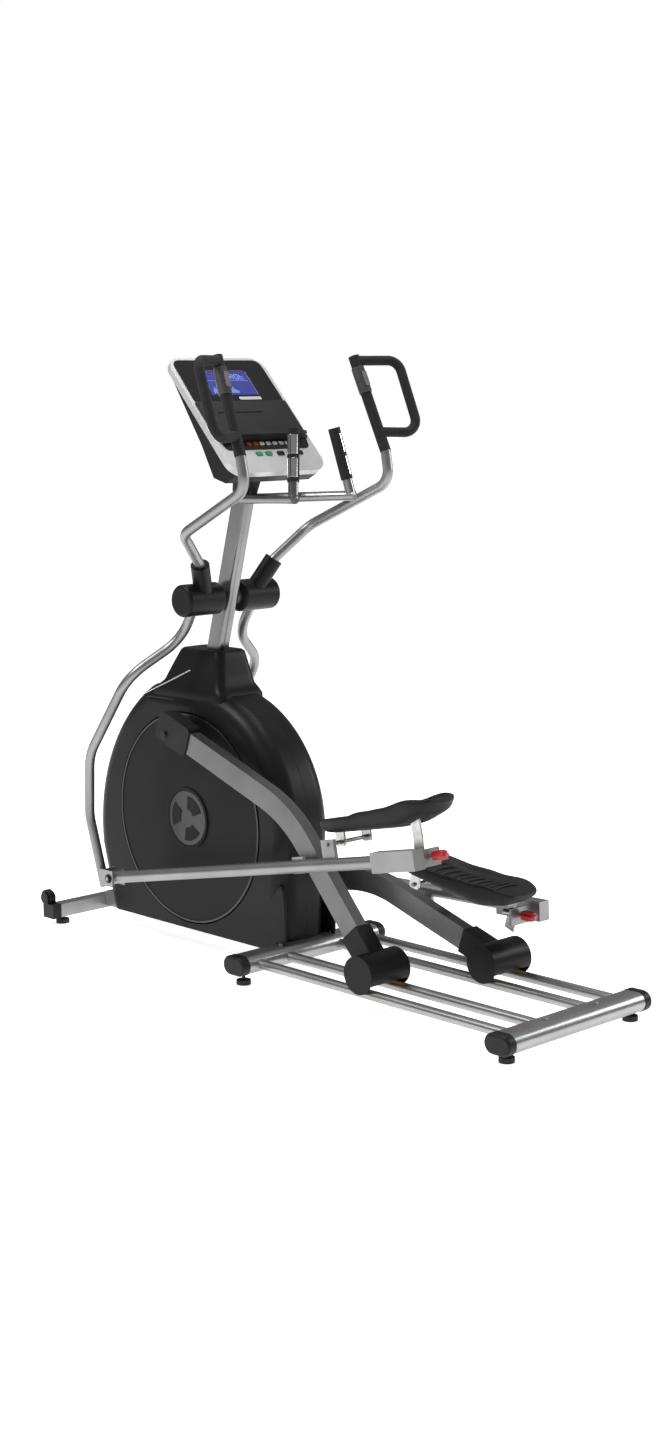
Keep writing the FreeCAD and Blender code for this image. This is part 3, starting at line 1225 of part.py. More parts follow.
    keep(f"pedal_{word}", turn_about(pedal, V(1, 0, 0), tilt - slope, hinge.y, hinge.z))

# ------------------------------------------------------------------- fasteners
bolts = []
for word, side in SIDES.items():
    for y, z, half_width in ((REAR, "rear_height", "rail_inner"),
                             ("middle_position", "middle_height", "rail_inner")):
        bolts.append(rod(f"bolt_{word}", "Z", "bolt_diameter / 2", f"{z} + stabilizer_height / 2",
                         f"{z} + stabilizer_height / 2 + bolt_head", sided(side, half_width), y))
keep("frame_bolts", group("frame_bolts", bolts))

# ---------------------------------------------------------------------- export
doc.recompute()
faults = [thing.Label for thing in doc.Objects
          if "Invalid" in thing.State or "Error" in thing.State]
faults += [node.Label for node in nodes
           if node.Shape.isNull() or not node.Shape.isValid()]
if faults:
    raise ValueError(f"no valid shape: {faults}")
os.makedirs("parts", exist_ok=True)
for node in nodes:
    node.Shape.exportStep(f"parts/{node.Label}.step")
print(len(nodes), "nodes")
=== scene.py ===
import bpy
import bmesh
import json
import math
from mathutils import Matrix, Vector


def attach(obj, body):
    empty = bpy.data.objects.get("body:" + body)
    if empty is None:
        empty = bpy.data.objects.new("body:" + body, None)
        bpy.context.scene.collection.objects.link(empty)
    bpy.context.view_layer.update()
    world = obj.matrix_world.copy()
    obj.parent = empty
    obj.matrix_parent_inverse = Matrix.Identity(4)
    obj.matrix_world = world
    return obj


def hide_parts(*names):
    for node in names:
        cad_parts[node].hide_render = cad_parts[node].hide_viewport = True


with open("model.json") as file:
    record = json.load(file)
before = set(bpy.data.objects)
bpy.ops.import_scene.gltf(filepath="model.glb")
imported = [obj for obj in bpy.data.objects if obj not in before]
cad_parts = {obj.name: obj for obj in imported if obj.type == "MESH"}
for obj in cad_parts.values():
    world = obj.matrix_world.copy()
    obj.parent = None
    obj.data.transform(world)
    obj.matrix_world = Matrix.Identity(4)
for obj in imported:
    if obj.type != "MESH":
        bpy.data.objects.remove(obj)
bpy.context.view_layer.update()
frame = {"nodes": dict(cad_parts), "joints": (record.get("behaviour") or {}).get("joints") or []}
nodes = frame["nodes"]
joints = {joint["name"]: joint for joint in frame["joints"]}
SIDES = (("left", -1), ("right", 1))

# --- Floor frame -----------------------------------------------------------
# Cross tubes, roller rails, base beam and side plates: bent and welded steel,
# powder coated in a light metallic grey with a fine orange-peel skin.


def grain_group():
    """Colour drift, roughness drift, a fine grain and lighter worn edges."""
    group = bpy.data.node_groups.new("grain_and_wear", "ShaderNodeTree")
    for name, kind in (("Colour", "Color"), ("Shade", "Color"), ("Edge", "Color"),
                       ("Drift scale", "Float"), ("Grain scale", "Float"),
                       ("Smoothest", "Float"), ("Roughest", "Float"), ("Wear", "Float")):
        group.interface.new_socket(name, in_out="INPUT", socket_type=f"NodeSocket{kind}")
    for name, kind in (("Colour", "Color"), ("Roughness", "Float"), ("Height", "Float")):
        group.interface.new_socket(name, in_out="OUTPUT", socket_type=f"NodeSocket{kind}")
    add, link = group.nodes.new, group.links.new
    given, out = add("NodeGroupInput"), add("NodeGroupOutput")
    place = add("ShaderNodeTexCoord")
    drift, grain = add("ShaderNodeTexNoise"), add("ShaderNodeTexNoise")
    for noise, scale, detail in ((drift, "Drift scale", 4), (grain, "Grain scale", 2)):
        link(place.outputs["Object"], noise.inputs["Vector"])
        link(given.outputs[scale], noise.inputs["Scale"])
        noise.inputs["Detail"].default_value = detail
    spread = add("ShaderNodeMapRange")
    spread.inputs["From Min"].default_value, spread.inputs["From Max"].default_value = 0.35, 0.65
    link(drift.outputs["Fac"], spread.inputs["Value"])
    shaded, edged = add("ShaderNodeMix"), add("ShaderNodeMix")
    shaded.data_type = edged.data_type = "RGBA"
    link(spread.outputs["Result"], shaded.inputs["Factor"])
    link(given.outputs["Colour"], shaded.inputs[6])
    link(given.outputs["Shade"], shaded.inputs[7])
    rounded, facing = add("ShaderNodeBevel"), add("ShaderNodeNewGeometry")
    rounded.samples = 4
    rounded.inputs["Radius"].default_value = 0.0025
    dot, worn = add("ShaderNodeVectorMath"), add("ShaderNodeMapRange")
    amount = add("ShaderNodeMath")
    dot.operation, amount.operation = "DOT_PRODUCT", "MULTIPLY"
    link(rounded.outputs["Normal"], dot.inputs[0])
    link(facing.outputs["Normal"], dot.inputs[1])
    link(dot.outputs["Value"], worn.inputs["Value"])
    worn.inputs["From Min"].default_value, worn.inputs["From Max"].default_value = 0.995, 0.9
    link(worn.outputs["Result"], amount.inputs[0])
    link(given.outputs["Wear"], amount.inputs[1])
    link(amount.outputs["Value"], edged.inputs["Factor"])
    link(shaded.outputs[2], edged.inputs[6])
    link(given.outputs["Edge"], edged.inputs[7])
    rough = add("ShaderNodeMapRange")
    link(grain.outputs["Fac"], rough.inputs["Value"])
    rough.inputs["From Min"].default_value, rough.inputs["From Max"].default_value = 0.3, 0.7
    link(given.outputs["Smoothest"], rough.inputs["To Min"])
    link(given.outputs["Roughest"], rough.inputs["To Max"])
    link(edged.outputs[2], out.inputs["Colour"])
    link(rough.outputs["Result"], out.inputs["Roughness"])
    link(grain.outputs["Fac"], out.inputs["Height"])
    return group


grain_and_wear = grain_group()


def grey(level, warm=0.0):
    return (level * (1 + warm), level, level * (1 - warm), 1)


def finish(name, colour, shade, edge=None, rough=(0.3, 0.45), metal=0.0, drift=9, grain=900,
           bump=0.05, wear=0.0, coat=0.0, gleam=0.5):
    """A material whose colour, gloss and skin come from the grain group."""
    material = bpy.data.materials.new(name)
    material.use_nodes = True
    tree = material.node_tree
    shader = tree.nodes["Principled BSDF"]
    skin = tree.nodes.new("ShaderNodeGroup")
    skin.node_tree = grain_and_wear
    for socket, value in (("Colour", colour), ("Shade", shade), ("Edge", edge or colour),
                          ("Drift scale", drift), ("Grain scale", grain),
                          ("Smoothest", rough[0]), ("Roughest", rough[1]), ("Wear", wear)):
        skin.inputs[socket].default_value = value
    relief = tree.nodes.new("ShaderNodeBump")
    relief.inputs["Strength"].default_value = bump
    relief.inputs["Distance"].default_value = 0.0006
    tree.links.new(skin.outputs["Colour"], shader.inputs["Base Color"])
    tree.links.new(skin.outputs["Roughness"], shader.inputs["Roughness"])
    tree.links.new(skin.outputs["Height"], relief.inputs["Height"])
    tree.links.new(relief.outputs["Normal"], shader.inputs["Normal"])
    shader.inputs["Metallic"].default_value = metal
    shader.inputs["Specular IOR Level"].default_value = gleam
    shader.inputs["Coat Weight"].default_value = coat
    shader.inputs["Coat Roughness"].default_value = 0.12
    return material


SAME_SPOT = 0.00002
SHARP = math.radians(40)


def dress(material, *names, ease=0.0012):
    """Gives CAD nodes their material, and eases their sharp edges."""
    for name in names:
        node = nodes[name]
        for place in node.material_slots:
            place.material = material
        if ease:
            smooth(node, ease)


def smooth(piece, width):
    """Joins split corners, then rounds edges by that width and evens the shading."""
    weld = piece.modifiers.new("weld", "WELD")
    weld.merge_threshold = SAME_SPOT
    bevel = piece.modifiers.new("ease", "BEVEL")
    bevel.width, bevel.segments = width, 2
    bevel.limit_method, bevel.angle_limit = "ANGLE", SHARP
    bevel.use_clamp_overlap = True
    piece.modifiers.new("even", "WEIGHTED_NORMAL").keep_sharp = False
    for face in piece.data.polygons:
        face.use_smooth = True


silver_coat = finish("light_grey_powder_coat", grey(0.36), grey(0.30), grey(0.60),
                     rough=(0.24, 0.36), metal=0.85, drift=6, grain=1400, bump=0.06, wear=0.25)
dress(silver_coat, "front_stabilizer", "middle_stabilizer", "rear_stabilizer", "rail_tubes",
      "main_frame")

# --- Bolts, feet, end caps and transport wheels ---------------------------
# Zinc-plated screws, moulded black end caps, round rubber feet on screws, and
# two small black wheels at the drive end for rolling the machine away.
zinc = finish("zinc_plate", grey(0.55, 0.02), grey(0.42, 0.03), grey(0.75), rough=(0.22, 0.4),
              metal=1.0, drift=60, grain=2500, bump=0.08, wear=0.2)
black_cap = finish("black_moulding", grey(0.012), grey(0.008), grey(0.04), rough=(0.36, 0.5),
                   drift=14, grain=1800, bump=0.12, wear=0.35, gleam=0.2)
rubber = finish("foot_rubber", grey(0.010), grey(0.016), grey(0.03), rough=(0.62, 0.8),
                drift=30, grain=1500, bump=0.2, wear=0.3)
dress(zinc, "frame_bolts", "pivot_axle", "crank_shaft", "crank_bearings", "brake_magnet",
      ease=0.0008)
dress(black_cap, "end_caps", "transport_wheel_left", "transport_wheel_right", ease=0.0018)
dress(rubber, "fixed_feet", "rear_foot_left", "rear_foot_right", ease=0.002)

# --- Drive inside the housing ----------------------------------------------
# A cast aluminium pulley, a turned iron flywheel and a rubber belt.
cast = finish("cast_aluminium", grey(0.55), grey(0.48), grey(0.7), rough=(0.3, 0.5), metal=1.0,
              drift=20, grain=900, bump=0.15)
iron = finish("turned_iron", grey(0.16, 0.04), grey(0.11, 0.08), grey(0.4), rough=(0.35, 0.55),
              metal=0.9, drift=12, grain=700, bump=0.2, wear=0.4)
belt = finish("belt_rubber", grey(0.02), grey(0.03), rough=(0.6, 0.75), drift=40, grain=1200,
              bump=0.25)
dress(cast, "drive_pulley")
dress(iron, "flywheel")
dress(belt, "drive_belt", ease=0)

# --- Housing ---------------------------------------------------------------
# Two clam shells and a tapering collar round the mast, moulded in charcoal
# plastic with a spark-eroded texture; the seam runs down the middle.
shell = finish("charcoal_shell", grey(0.011), grey(0.008), grey(0.035), rough=(0.32, 0.44),
               drift=3, grain=2200, bump=0.10, wear=0.25, gleam=0.14)
hub_black = finish("satin_black_trim", grey(0.006), grey(0.004), rough=(0.25, 0.35), drift=20,
                   grain=2400, bump=0.05, gleam=0.4)
dress(shell, "side_case_left", "side_case_right", ease=0.0015)


def piece_from(name, mesh, material, body, ease=0.0):
    """A finished visual piece that rides on a body."""
    piece = bpy.data.objects.new(name, mesh)
    bpy.context.scene.collection.objects.link(piece)
    piece.data.materials.clear()
    piece.data.materials.append(material)
    for face in piece.data.polygons:
        face.use_smooth = True
    if ease:
        smooth(piece, ease)
    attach(piece, body)
    return piece


def rounded(corners, radius, steps=6):
    """A closed outline with every corner replaced by an arc."""
    line = []
    for i, corner in enumerate(corners):
        here = Vector(corner)
        before = Vector(corners[i - 1]) - here
        after = Vector(corners[(i + 1) % len(corners)]) - here
        reach = min(radius, before.length * 0.49, after.length * 0.49)
        start, end = here + before.normalized() * reach, here + after.normalized() * reach
        for k in range(steps + 1):
            t = k / steps
            line.append((1 - t) ** 2 * start + 2 * t * (1 - t) * here + t * t * end)
    return line


def mesh_of(name, curve):
    """The mesh of a drawn curve."""
    drawn = bpy.data.objects.new(name, curve)
    mesh = bpy.data.meshes.new_from_object(drawn)
    bpy.data.objects.remove(drawn)
    return mesh


def sheet_of(outlines, thick, lift, setting, bevel=0.0004):
    """A plate with a soft edge from flat outlines; inner outlines become holes."""
    curve = bpy.data.curves.new("plate", "CURVE")
    curve.dimensions, curve.fill_mode = "2D", "BOTH"
    curve.extrude, curve.bevel_depth, curve.bevel_resolution = thick / 2 - bevel, bevel, 1
    curve.offset = -bevel
    for outline in outlines:
        spline = curve.splines.new("POLY")
        spline.points.add(len(outline) - 1)
        for place, spot in zip(spline.points, outline):
            place.co = (spot[0], spot[1], 0, 1)
        spline.use_cyclic_u = True
    mesh = mesh_of("plate", curve)
    mesh.transform(setting @ Matrix.Translation((0, 0, lift + thick / 2)))
    return mesh


def joined(name, parts):
    """Several meshes as one."""
    whole = bmesh.new()
    for part in parts:
        whole.from_mesh(part)
    mesh = bpy.data.meshes.new(name)
    whole.to_mesh(mesh)
    whole.free()
    return mesh


def ring_of(radius, count=72, start=0.0, sweep=2 * math.pi):
    """Points round a circle, or round part of one."""
    return [Vector((radius * math.cos(start + sweep * k / count),
                    radius * math.sin(start + sweep * k / count))) for k in range(count)]


def loft(name, rings, setting):
    """A closed skin over loops of equal count, capped at both ends."""
    count = len(rings[0])
    spots = [spot for ring in rings for spot in ring]
    faces = [(i * count + k, i * count + (k + 1) % count, (i + 1) * count + (k + 1) % count,
              (i + 1) * count + k) for i in range(len(rings) - 1) for k in range(count)]
    faces += [tuple(reversed(range(count))),
              tuple(range((len(rings) - 1) * count, len(rings) * count))]
    mesh = bpy.data.meshes.new(name)
    mesh.from_pydata(spots, [], faces)
    mesh.transform(setting)
    tidy = bmesh.new()
    tidy.from_mesh(mesh)
    bmesh.ops.recalc_face_normals(tidy, faces=tidy.faces)
    tidy.to_mesh(mesh)
    tidy.free()
    return mesh


def rod_along(name, spots, thick, material, body):
    """A smooth round strip through a few points."""
    curve = bpy.data.curves.new(name, "CURVE")
    curve.dimensions, curve.bevel_depth, curve.bevel_resolution = "3D", thick, 4
    curve.use_fill_caps = True
    spline = curve.splines.new("NURBS")
    spline.points.add(len(spots) - 1)
    for place, spot in zip(spline.points, spots):
        place.co = (*spot, 1)
    spline.order_u, spline.use_endpoint_u, spline.resolution_u = 3, True, 12
    return piece_from(name, mesh_of(name, curve), material, body)


# Each row is a level, half the width, and the rear and front faces there.
COLLAR = ((0.800, 0.092, 0.300, 0.652), (0.818, 0.093, 0.303, 0.646), (0.834, 0.088, 0.314, 0.624),
          (0.850, 0.081, 0.326, 0.604), (0.885, 0.074, 0.334, 0.584), (0.925, 0.066, 0.342, 0.560),
          (0.948, 0.061, 0.347, 0.546), (0.9548, 0.055, 0.353, 0.539))
levels = []
for level, half, rear, front in COLLAR:
    corners = [(-half, rear), (half, rear), (half, front), (-half, front)]
    levels.append([(spot.x, spot.y, level) for spot in rounded(corners, 0.030, 8)])
collar = piece_from("housing_collar", loft("collar", levels, Matrix.Identity(4)), shell, "frame",
                    0.0012)
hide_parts("case_collar")
BOOT = [(0.013, 0.062), (0.006, 0.120), (0.009, 0.205), (0.016, 0.262), (0.034, 0.274),
        (0.072, 0.226), (0.112, 0.150), (0.150, 0.062)]
BOOT_FACE = 0.0995
ACCENT = ((0.092, 0.672, 0.800), (0.090, 0.61, 0.826), (0.080, 0.54, 0.858), (0.073, 0.47, 0.890))
RIB_LINE = ((0.095, 0.66, 0.802), (0.096, 0.60, 0.806), (0.095, 0.53, 0.804))
RIBS, RIB_STEP, RIB_TUCK = 3, 0.012, 0.01
for word, side in SIDES:
    flank = Matrix(((0, 0, side, 0), (1, 0, 0, 0), (0, 1, 0, 0), (0, 0, 0, 1)))
    boot = sheet_of([rounded(BOOT, 0.02)], 0.007, 0.0,
                    Matrix.Translation((side * BOOT_FACE, 0, 0)) @ flank, bevel=0.0032)
    piece_from(f"boot_panel_{word}", boot, shell, "frame")
    rod_along(f"accent_strip_{word}", [(side * x, y, z) for x, y, z in ACCENT], 0.0028, zinc,
              "frame")
    for k in range(RIBS):
        drop = RIB_STEP * (k + 1)
        tucks = (RIB_TUCK * k, 0, 0)
        rod_along(f"vent_rib_{word}_{k}",
                  [(side * x, y - tuck, z - drop) for (x, y, z), tuck in zip(RIB_LINE, tucks)],
                  0.0022, hub_black, "frame")

# --- Crank discs -----------------------------------------------------------
# A flush moulded disc on each side turns with the crank. Its hub carries a
# raised ring with a plain three-part pattern pressed into the face.
disc_skin = finish("disc_moulding", grey(0.010), grey(0.007), grey(0.03), rough=(0.36, 0.5),
                   drift=4, grain=2000, bump=0.10, wear=0.2, gleam=0.12)
hub_skin = finish("hub_moulding", grey(0.014), grey(0.010), grey(0.05), rough=(0.2, 0.3),
                  drift=12, grain=2600, bump=0.12, wear=0.4, gleam=0.5)
dress(disc_skin, "crank_disc_left", "crank_disc_right", ease=0.0015)


def facing_out(side):
    """Turns a flat drawing to face away from the middle along X."""
    return Matrix(((0, 0, side, 0), (side, 0, 0, 0), (0, 1, 0, 0), (0, 0, 0, 1)))


def arc_band(outer, inner, start, sweep, count=24):
    """A curved strip between two radii."""
    angles = [start + sweep * k / count for k in range(count + 1)]
    return ([Vector((outer * math.cos(a), outer * math.sin(a))) for a in angles]
            + [Vector((inner * math.cos(a), inner * math.sin(a))) for a in reversed(angles)])


crank = Vector((0, 0.465, 0.420))
DISC_FACE, LIP_POINTS = 0.100, 160
BLADES, BLADE_STEP, BLADE_START, BLADE_SWEEP = 3, 2.0944, 0.35, 1.15
for word, side in SIDES:
    setting = Matrix.Translation((side * DISC_FACE, crank.y, crank.z)) @ facing_out(side)
    cap = sheet_of([ring_of(0.087)], 0.0035, 0.0, setting)
    piece_from(f"hub_cap_{word}", cap, hub_skin, "crank")
    for k in range(BLADES):
        blade = arc_band(0.072, 0.030, k * BLADE_STEP + BLADE_START, BLADE_SWEEP)
        piece_from(f"hub_pattern_{word}_{k}", sheet_of([blade], 0.0016, 0.0034, setting),
                   disc_skin, "crank")
    lip = sheet_of([ring_of(0.335, LIP_POINTS), ring_of(0.329, LIP_POINTS)], 0.0022, 0.0, setting)
    piece_from(f"disc_lip_{word}", lip, hub_skin, "crank")

# --- Mast and fixed bars ---------------------------------------------------
# An oval-section steel mast, and the round bar that carries the pulse grips.
mast_coat = finish("mast_grey_coat", grey(0.24), grey(0.19), grey(0.5), rough=(0.22, 0.32),
                   metal=0.85, drift=5, grain=1300, bump=0.05, wear=0.2)
dress(mast_coat, "mast", "handlebar", ease=0.0015)
foam = finish("grip_foam", grey(0.014), grey(0.009), grey(0.02), rough=(0.72, 0.9), drift=70,
              grain=520, bump=0.55, gleam=0.3)
chrome = finish("bright_chrome", grey(0.82), grey(0.76), rough=(0.04, 0.1), metal=1.0, drift=30,
                grain=2000, bump=0.01)
dress(foam, "handlebar_grips", "handle_grip_left", "handle_grip_right", ease=0.002)
dress(chrome, "pulse_plates", ease=0.0008)

# A moulded neck carries the console on the top of the mast. Each row is the way
# up from the pivot, half the width and half the depth there.
NECK = ((0.328, 0.0205, 0.0380), (0.340, 0.0225, 0.0395), (0.385, 0.0300, 0.0390),
        (0.425, 0.0360, 0.0340), (0.470, 0.0380, 0.0200))
mast_line = Matrix.Translation((0, 0.376, 1.121)) @ Matrix.Rotation(math.radians(15.6), 4, "X")
levels = []
for along, half, deep in NECK:
    corners = [(-half, -deep), (half, -deep), (half, deep), (-half, deep)]
    levels.append([(spot.x, spot.y, along) for spot in rounded(corners, 0.015, 8)])
piece_from("console_neck", loft("neck", levels, mast_line), shell, "frame", 0.001)

# --- Console ---------------------------------------------------------------
# A silver-edged head with a gloss black upper face, a blue backlit display and a
# reading rack; one row of small keys, three black ones and a green pair below.
tilt = math.radians(47.6)
console = Matrix.Translation((0, 0.270, 1.691)) @ Matrix.Rotation(tilt, 4, "X")
silver_edge = finish("silver_moulding", grey(0.52), grey(0.47), grey(0.7), rough=(0.28, 0.38),
                     metal=0.35, drift=8, grain=2400, bump=0.04, wear=0.2)
gloss_black = finish("gloss_black", grey(0.004), grey(0.006), grey(0.02), rough=(0.08, 0.16),
                     drift=5, grain=1200, bump=0.01, gleam=0.4)
back_black = finish("console_back_black", grey(0.011), grey(0.008), grey(0.04),
                    rough=(0.4, 0.52), drift=12, grain=2000, bump=0.12, wear=0.3, gleam=0.2)
dress(silver_edge, "console_front", ease=0.004)
dress(back_black, "console_back", "reading_rack", ease=0.002)


def oblong(x0, x1, y0, y1, radius=0.003):
    return rounded([(x0, y0), (x1, y0), (x1, y1), (x0, y1)], radius)


display = oblong(-0.094, 0.094, 0.070, 0.171, 0.004)
upper_face = rounded([(-0.180, 0.030), (0.180, 0.030), (0.176, 0.212), (-0.176, 0.212)], 0.03)
piece_from("console_gloss_face", sheet_of([upper_face, display], 0.0018, 0.0001, console),
           gloss_black, "frame")
lower_face = rounded([(-0.166, -0.150), (0.166, -0.150), (0.178, -0.104), (-0.178, -0.104)],
                     0.016)
piece_from("console_key_band", sheet_of([lower_face], 0.0016, 0.0001, console), gloss_black,
           "frame")


def lit(name, colour, strength, shade):
    """A backlit film: a soft glow with slight unevenness."""
    material = finish(name, colour, shade, rough=(0.2, 0.3), drift=25, grain=1500, bump=0.01,
                      coat=0.4)
    shader = material.node_tree.nodes["Principled BSDF"]
    shader.inputs["Emission Color"].default_value = colour
    shader.inputs["Emission Strength"].default_value = strength
    return material


screen = lit("blue_display", (0.012, 0.016, 0.17, 1), 0.34, (0.015, 0.02, 0.2, 1))
segments = lit("display_segments", (0.22, 0.27, 0.62, 1), 0.4, (0.25, 0.3, 0.7, 1))
dress(screen, "console_display", ease=0)


def many(name, outlines, thick, lift, material, body, setting=console):
    """Small flat pieces of one finish, joined into one mesh."""
    parts = [sheet_of([outline], thick, lift, setting, bevel=min(0.0002, thick / 4))
             for outline in outlines]
    return piece_from(name, joined(name, parts), material, body)


# The height of each column of the graph, and the strokes of a figure in mm.
GRAPH = (3, 5, 4, 7, 8, 6, 5, 7, 9, 6, 4, 5, 3, 2)
STROKES = ((0, 12, 17, 19), (0, 12, 8, 10), (0, 12, -1, 1), (-1, 1, 0, 18), (11, 13, 0, 18))
FIGURES, FIGURE_BASE = 5, 0.136
bars = []
for column, tall in enumerate(GRAPH):
    for row in range(tall):
        x, y = -0.078 + column * 0.0074, 0.080 + row * 0.0046
        bars.append(oblong(x, x + 0.0056, y, y + 0.003, 0.0004))
for place in range(FIGURES):
    x = -0.020 + place * 0.020
    for part, (a, b, c, d) in enumerate(STROKES):
        if (place + part) % 4:
            bars.append(oblong(x + a / 1000, x + b / 1000, FIGURE_BASE + c / 1000,
                               FIGURE_BASE + d / 1000, 0.0003))
bars.append(oblong(-0.086, 0.086, 0.1295, 0.1305, 0.0003))
many("display_segments", bars, 0.0006, -0.0009, segments, "frame")
badge = oblong(0.004, 0.092, 0.048, 0.060, 0.005)
piece_from("plain_badge", sheet_of([badge], 0.002, 0.0018, console), silver_edge, "frame")
rack_line = oblong(-0.12, 0.06, -0.005, -0.002, 0.001)
piece_from("rack_rib", sheet_of([rack_line], 0.0015, 0.0050, console), gloss_black, "frame")

red_key = finish("red_key", (0.35, 0.02, 0.02, 1), (0.28, 0.015, 0.015, 1), rough=(0.25, 0.35),
                 bump=0.03)
white_key = finish("pale_key", grey(0.5), grey(0.44), rough=(0.25, 0.35), bump=0.03)
green_key = finish("green_key", (0.02, 0.22, 0.09, 1), (0.015, 0.17, 0.07, 1),
                   rough=(0.22, 0.32), bump=0.03)
dress(green_key, "resistance_key_up", "resistance_key_down", ease=0.001)
for name, material, spots in (("red_keys", red_key, (-0.070, -0.044)),
                              ("pale_keys", white_key, (-0.018, 0.008, 0.034, 0.060, 0.084))):
    outlines = [oblong(x - 0.009, x + 0.009, -0.134, -0.122, 0.004) for x in spots]
    many(name, outlines, 0.0022, 0.0014, material, "frame")
outlines = [oblong(x - 0.014, x + 0.014, -0.175, -0.159, 0.006) for x in (0.036, 0.076, 0.112)]
many("black_keys", outlines, 0.0026, 0.0, gloss_black, "frame")

# --- Swing arms and moving handles ----------------------------------------
# Bent round tube from the pivot down to the pedal arm and up to the grips,
# with a moulded cover over the pivot and a thumb switch set in the foam.
lever_coat = finish("lever_grey_coat", grey(0.30), grey(0.24), grey(0.5), rough=(0.34, 0.44),
                    metal=0.88, drift=5, grain=1300, bump=0.05, wear=0.2)
pod_grey = finish("pod_grey", grey(0.05), grey(0.04), grey(0.25), rough=(0.3, 0.42), drift=20,
                  grain=1800, bump=0.08, wear=0.2)
key_grey = finish("key_grey", grey(0.16), grey(0.12), grey(0.25), rough=(0.25, 0.35), drift=20,
                  grain=1800, bump=0.05)
for word, side in SIDES:
    dress(lever_coat, f"swing_arm_{word}", f"handle_tube_{word}", ease=0.001)
    dress(shell, f"pivot_cover_{word}", ease=0.003)
    dress(pod_grey, f"remote_pod_{word}")
    dress(key_grey, f"remote_key_{word}", ease=0.0015)

# --- Connecting arms -------------------------------------------------------
# A cranked box-section steel arm: its front end sits on the crank pin under a
# moulded cap, its rear end runs on two urethane rollers under a hood.
arm_coat = finish("arm_grey_coat", grey(0.15), grey(0.12), grey(0.38), rough=(0.24, 0.36),
                  metal=0.75, drift=5, grain=1300, bump=0.06, wear=0.3)
urethane = finish("amber_urethane", (0.62, 0.40, 0.03, 1), (0.5, 0.3, 0.02, 1),
                  (0.75, 0.55, 0.1, 1), rough=(0.3, 0.45), drift=40, grain=900, bump=0.08,
                  wear=0.3)
for word, side in SIDES:
    dress(arm_coat, f"connecting_arm_{word}", ease=0.007)
    dress(black_cap, f"arm_cap_{word}", ease=0.004)
    dress(shell, f"roller_cover_{word}", ease=0.004)
    dress(urethane, f"rollers_{word}", ease=0.0025)


zinc_dark = finish("black_oxide_steel", grey(0.03), grey(0.02), grey(0.1), rough=(0.28, 0.4),
                   metal=0.8, drift=30, grain=2000, bump=0.06, wear=0.3)
CRANK_PIN_END, CLEVIS_FACE, CRANK_THROW = 0.1898, 0.2751, 0.280


def hex_bolt(name, spot, out, across, body):
    """A domed washer and a hexagon head that face outwards along X."""
    setting = Matrix.Translation(spot) @ facing_out(out)
    washer = sheet_of([ring_of(across * 0.72, 40)], 0.0016, 0, setting, bevel=0.0006)
    hexagon = sheet_of([ring_of(across * 0.56, 6)], 0.0062, 0, setting, bevel=0.0008)
    return piece_from(name, joined(name, [washer, hexagon]), zinc_dark, body)


for word, side in SIDES:
    crank_pin = Vector(joints["crank_turn"]["pos_m"]) - Vector((0, 0, side * CRANK_THROW))
    hex_bolt(f"crank_pin_bolt_{word}", (side * CRANK_PIN_END, crank_pin.y, crank_pin.z), side,
             0.024, f"arm_{word}")
    lower_pin = Vector(joints[f"pedal_arm_turn_{word}"]["pos_m"])
    hex_bolt(f"clevis_bolt_{word}", (side * CLEVIS_FACE, lower_pin.y, lower_pin.z), side, 0.021,
             f"swing_{word}")

# --- Pedal arms, tilt screws and pedals -----------------------------------
# Round tube to a square box end; a red knob on a plated worm sets the tilt;
# the foot plates are moulded dishes with raised treads.
knob_red = finish("red_knob", (0.42, 0.015, 0.02, 1), (0.34, 0.01, 0.015, 1),
                  (0.6, 0.1, 0.1, 1), rough=(0.22, 0.34), drift=30, grain=1500, bump=0.05,
                  wear=0.2, coat=0.2)
pedal_black = finish("pedal_black", grey(0.013), grey(0.009), grey(0.04), rough=(0.42, 0.58),
                     drift=10, grain=1300, bump=0.22, wear=0.35, gleam=0.2)
tread_black = finish("tread_black", grey(0.022), grey(0.016), grey(0.05), rough=(0.5, 0.65),
                     drift=30, grain=900, bump=0.3, wear=0.3, gleam=0.2)


def turned(length, sides, steps, radius_at):
    """A round piece along its own Z, with a radius for each height and angle."""
    rings = []
    for i in range(steps + 1):
        ring = []
        for k in range(sides):
            angle = 2 * math.pi * k / sides
            radius = radius_at(i / steps, angle)
            ring.append((radius * math.cos(angle), radius * math.sin(angle),
                         length * i / steps))
        rings.append(ring)
    return rings


def along_steps(stops, u):
    """The value between (place, value) stops, eased at each end."""
    for (a, low), (b, high) in zip(stops, stops[1:]):
        if u <= b:
            t = (u - a) / (b - a)
            return low + (high - low) * t * t * (3 - 2 * t)
    return stops[-1][1]


# Plate length and how far its toe is ahead of the hinge; then stops along it.
LENGTH, AHEAD = 0.450, 0.072
PEDAL_OUT, PEDAL_TILT = 0.138, math.radians(12.3)
TREADS, FIRST_TREAD, TREAD_STEP, SLOPE_STEP = 11, 0.13, 0.068, 0.02
RIM = ((0, 0.062), (0.06, 0.072), (0.33, 0.076), (0.62, 0.090), (0.86, 0.107), (1, 0.100))
DISH = ((0, 0.003), (0.08, 0.014), (0.5, 0.024), (0.85, 0.016), (1, 0.003))
KEEL = ((0, 0.036), (0.08, 0.026), (0.72, 0.027), (0.9, 0.050), (1, 0.082))
HALF = ((0, 0.058), (0.07, 0.078), (0.2, 0.083), (0.86, 0.083), (0.95, 0.074), (1, 0.050))


